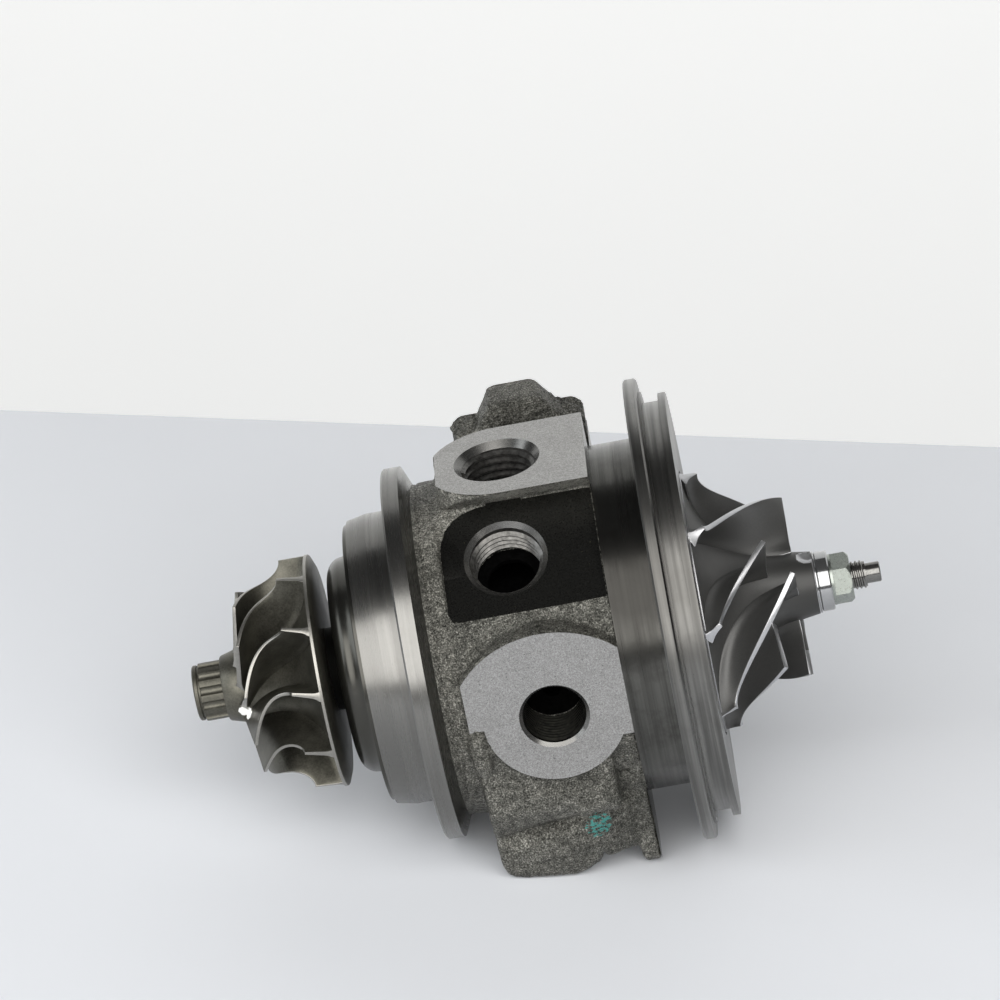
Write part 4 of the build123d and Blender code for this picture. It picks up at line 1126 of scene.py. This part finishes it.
# The table is tilted in this frame, because the cartridge lies on its two round flanges
table = {"rimRadius": 36.0, "rimPlace": 0.35, "flangeRadius": 44.6, "flangePlace": 48.75,
         "edgeLeft": (-92.6, 178.9), "edgeRight": (121.9, 150.1), "ends": (-4, 5),
         "frontShift": 120, "frontReach": 1500, "colour": (0.72, 0.742, 0.783)}
tableRise = table["flangeRadius"] - table["rimRadius"]
tableSlope = tableRise / (table["flangePlace"] - table["rimPlace"])


def tableHeight(x):
    return -(table["rimRadius"] + tableSlope * (x - table["rimPlace"]))


def stageSheet(name, corners, finish):
    mesh = bpy.data.meshes.new(name)
    mesh.from_pydata([Vector(c) * mm for c in corners], [], [(0, 1, 2, 3)])
    sheet = bpy.data.objects.new(name, mesh)
    bpy.context.scene.collection.objects.link(sheet)
    mesh.materials.append(finish)


def paleSheet(name, colour, roughness, glow=0.0):
    f = Finish(name, 0.0, roughness)
    cloud = f.grain(60.0, 3.0, 0.6)
    low = tuple(c * 0.985 for c in colour)
    f.set("Base Color", f.colours(cloud, [(0.3, low), (0.7, colour)]))
    f.set("Emission Color", (*colour, 1))
    f.set("Emission Strength", glow)
    return f.material


def edgePoint(share):
    (x0, y0), (x1, y1) = table["edgeLeft"], table["edgeRight"]
    x, y = x0 + (x1 - x0) * share, y0 + (y1 - y0) * share
    return x, y, tableHeight(x)


def frontPoint(x, y, z):
    x += table["frontShift"]
    return x, y - table["frontReach"], tableHeight(x)


left, right = [edgePoint(share) for share in table["ends"]]
stageSheet("tableTop", [left, right, frontPoint(*right), frontPoint(*left)],
           paleSheet("tableWhite", table["colour"], 0.6))

# The wall stands behind the table's far edge, and is enlarged about the object
studioWall = {"away": (0.133, 0.991, 0), "behind": 420, "below": 600, "height": 1500, "lean": 60,
              "centre": (20, 0, 0), "grow": 2.5, "colour": (0.90, 0.905, 0.90), "glow": 0.62}
up = Vector((tableSlope, 0, 1)).normalized()
away, centre = Vector(studioWall["away"]), Vector(studioWall["centre"])
wallFoot = [Vector(p) + away * studioWall["behind"] - up * studioWall["below"]
            for p in (left, right)]
wallHead = [p + up * studioWall["height"] + away * studioWall["lean"] for p in wallFoot]
wallFoot, wallHead = [[centre + (p - centre) * studioWall["grow"] for p in row]
                      for row in (wallFoot, wallHead)]
wallWhite = paleSheet("wallWhite", studioWall["colour"], 0.8, studioWall["glow"])
stageSheet("backWall", [wallFoot[0], wallHead[0], wallHead[1], wallFoot[1]], wallWhite)
print("table and wall placed")


# Camera at the photograph's angle
view = {"place": (81.2295, -1008.2253, 554.3887), "right": (0.982738, -0.036593, -0.181347),
        "up": (0.177512, 0.462611, 0.868608), "back": (0.052108, -0.885806, 0.461121),
        "lens": 216.5127, "sensor": 36.0, "clip": (0.01, 20)}
cameraData = bpy.data.cameras.new("photoCamera")
cameraData.lens = view["lens"]
cameraData.sensor_width = view["sensor"]
cameraData.clip_start, cameraData.clip_end = view["clip"]
camera = bpy.data.objects.new("photoCamera", cameraData)
bpy.context.scene.collection.objects.link(camera)
turn = Matrix([[view["right"][i], view["up"][i], view["back"][i]] for i in range(3)]).to_4x4()
camera.matrix_world = Matrix.Translation(Vector(view["place"]) * mm) @ turn
bpy.context.scene.camera = camera


# Soft studio light: a wide window in front, a small panel at the left and, behind the object,
# the wall's own glow. The rest of the room is dark
lights = {
    "window": {"elevation": 37, "azimuth": 3, "distance": 1400, "size": (2700, 1420),
               "power": 45, "colour": (1.0, 0.985, 0.96)},
    "leftPanel": {"elevation": 30, "azimuth": -80, "distance": 1500, "size": (900, 900),
                  "power": 7, "colour": (0.93, 0.97, 1.0)},
    "aim": (20, 0, 0), "sky": (0.90, 0.95, 1.0), "room": 0.02, "roomSeen": 0.80,
}


def softLight(name):
    spec = lights[name]
    lamp = bpy.data.lights.new(name, "AREA")
    lamp.shape = "RECTANGLE"
    lamp.size, lamp.size_y = spec["size"][0] * mm, spec["size"][1] * mm
    lamp.energy = spec["power"]
    lamp.color = spec["colour"]
    e, a = radians(spec["elevation"]), radians(spec["azimuth"])
    back = Vector((sin(a) * cos(e), -cos(a) * cos(e), sin(e)))
    ob = bpy.data.objects.new(name, lamp)
    bpy.context.scene.collection.objects.link(ob)
    target = Vector(lights["aim"])
    where = target + back * spec["distance"]
    ob.matrix_world = (Matrix.Translation(where * mm)
                       @ (where - target).to_track_quat("Z", "Y").to_matrix().to_4x4())


for lightName in ("window", "leftPanel"):
    softLight(lightName)
world = bpy.data.worlds.new("studioWorld")
bpy.context.scene.world = world
world.use_nodes = True
backdrop = world.node_tree.nodes["Background"]
backdrop.inputs[0].default_value = (*lights["sky"], 1)
# The dark room lights almost nothing, and a camera that looks past the table sees it pale
sky = Signal(world.node_tree)
seen = sky.add("ShaderNodeLightPath")
strength = sky.add("ShaderNodeMapRange", None, {0: seen, 3: lights["room"], 4: lights["roomSeen"]})
world.node_tree.links.new(strength.socket, backdrop.inputs[1])
bpy.context.scene.view_settings.view_transform = "Standard"
bpy.context.scene.view_settings.look = "None"
print("camera and lights placed")

bpy.context.view_layer.update()
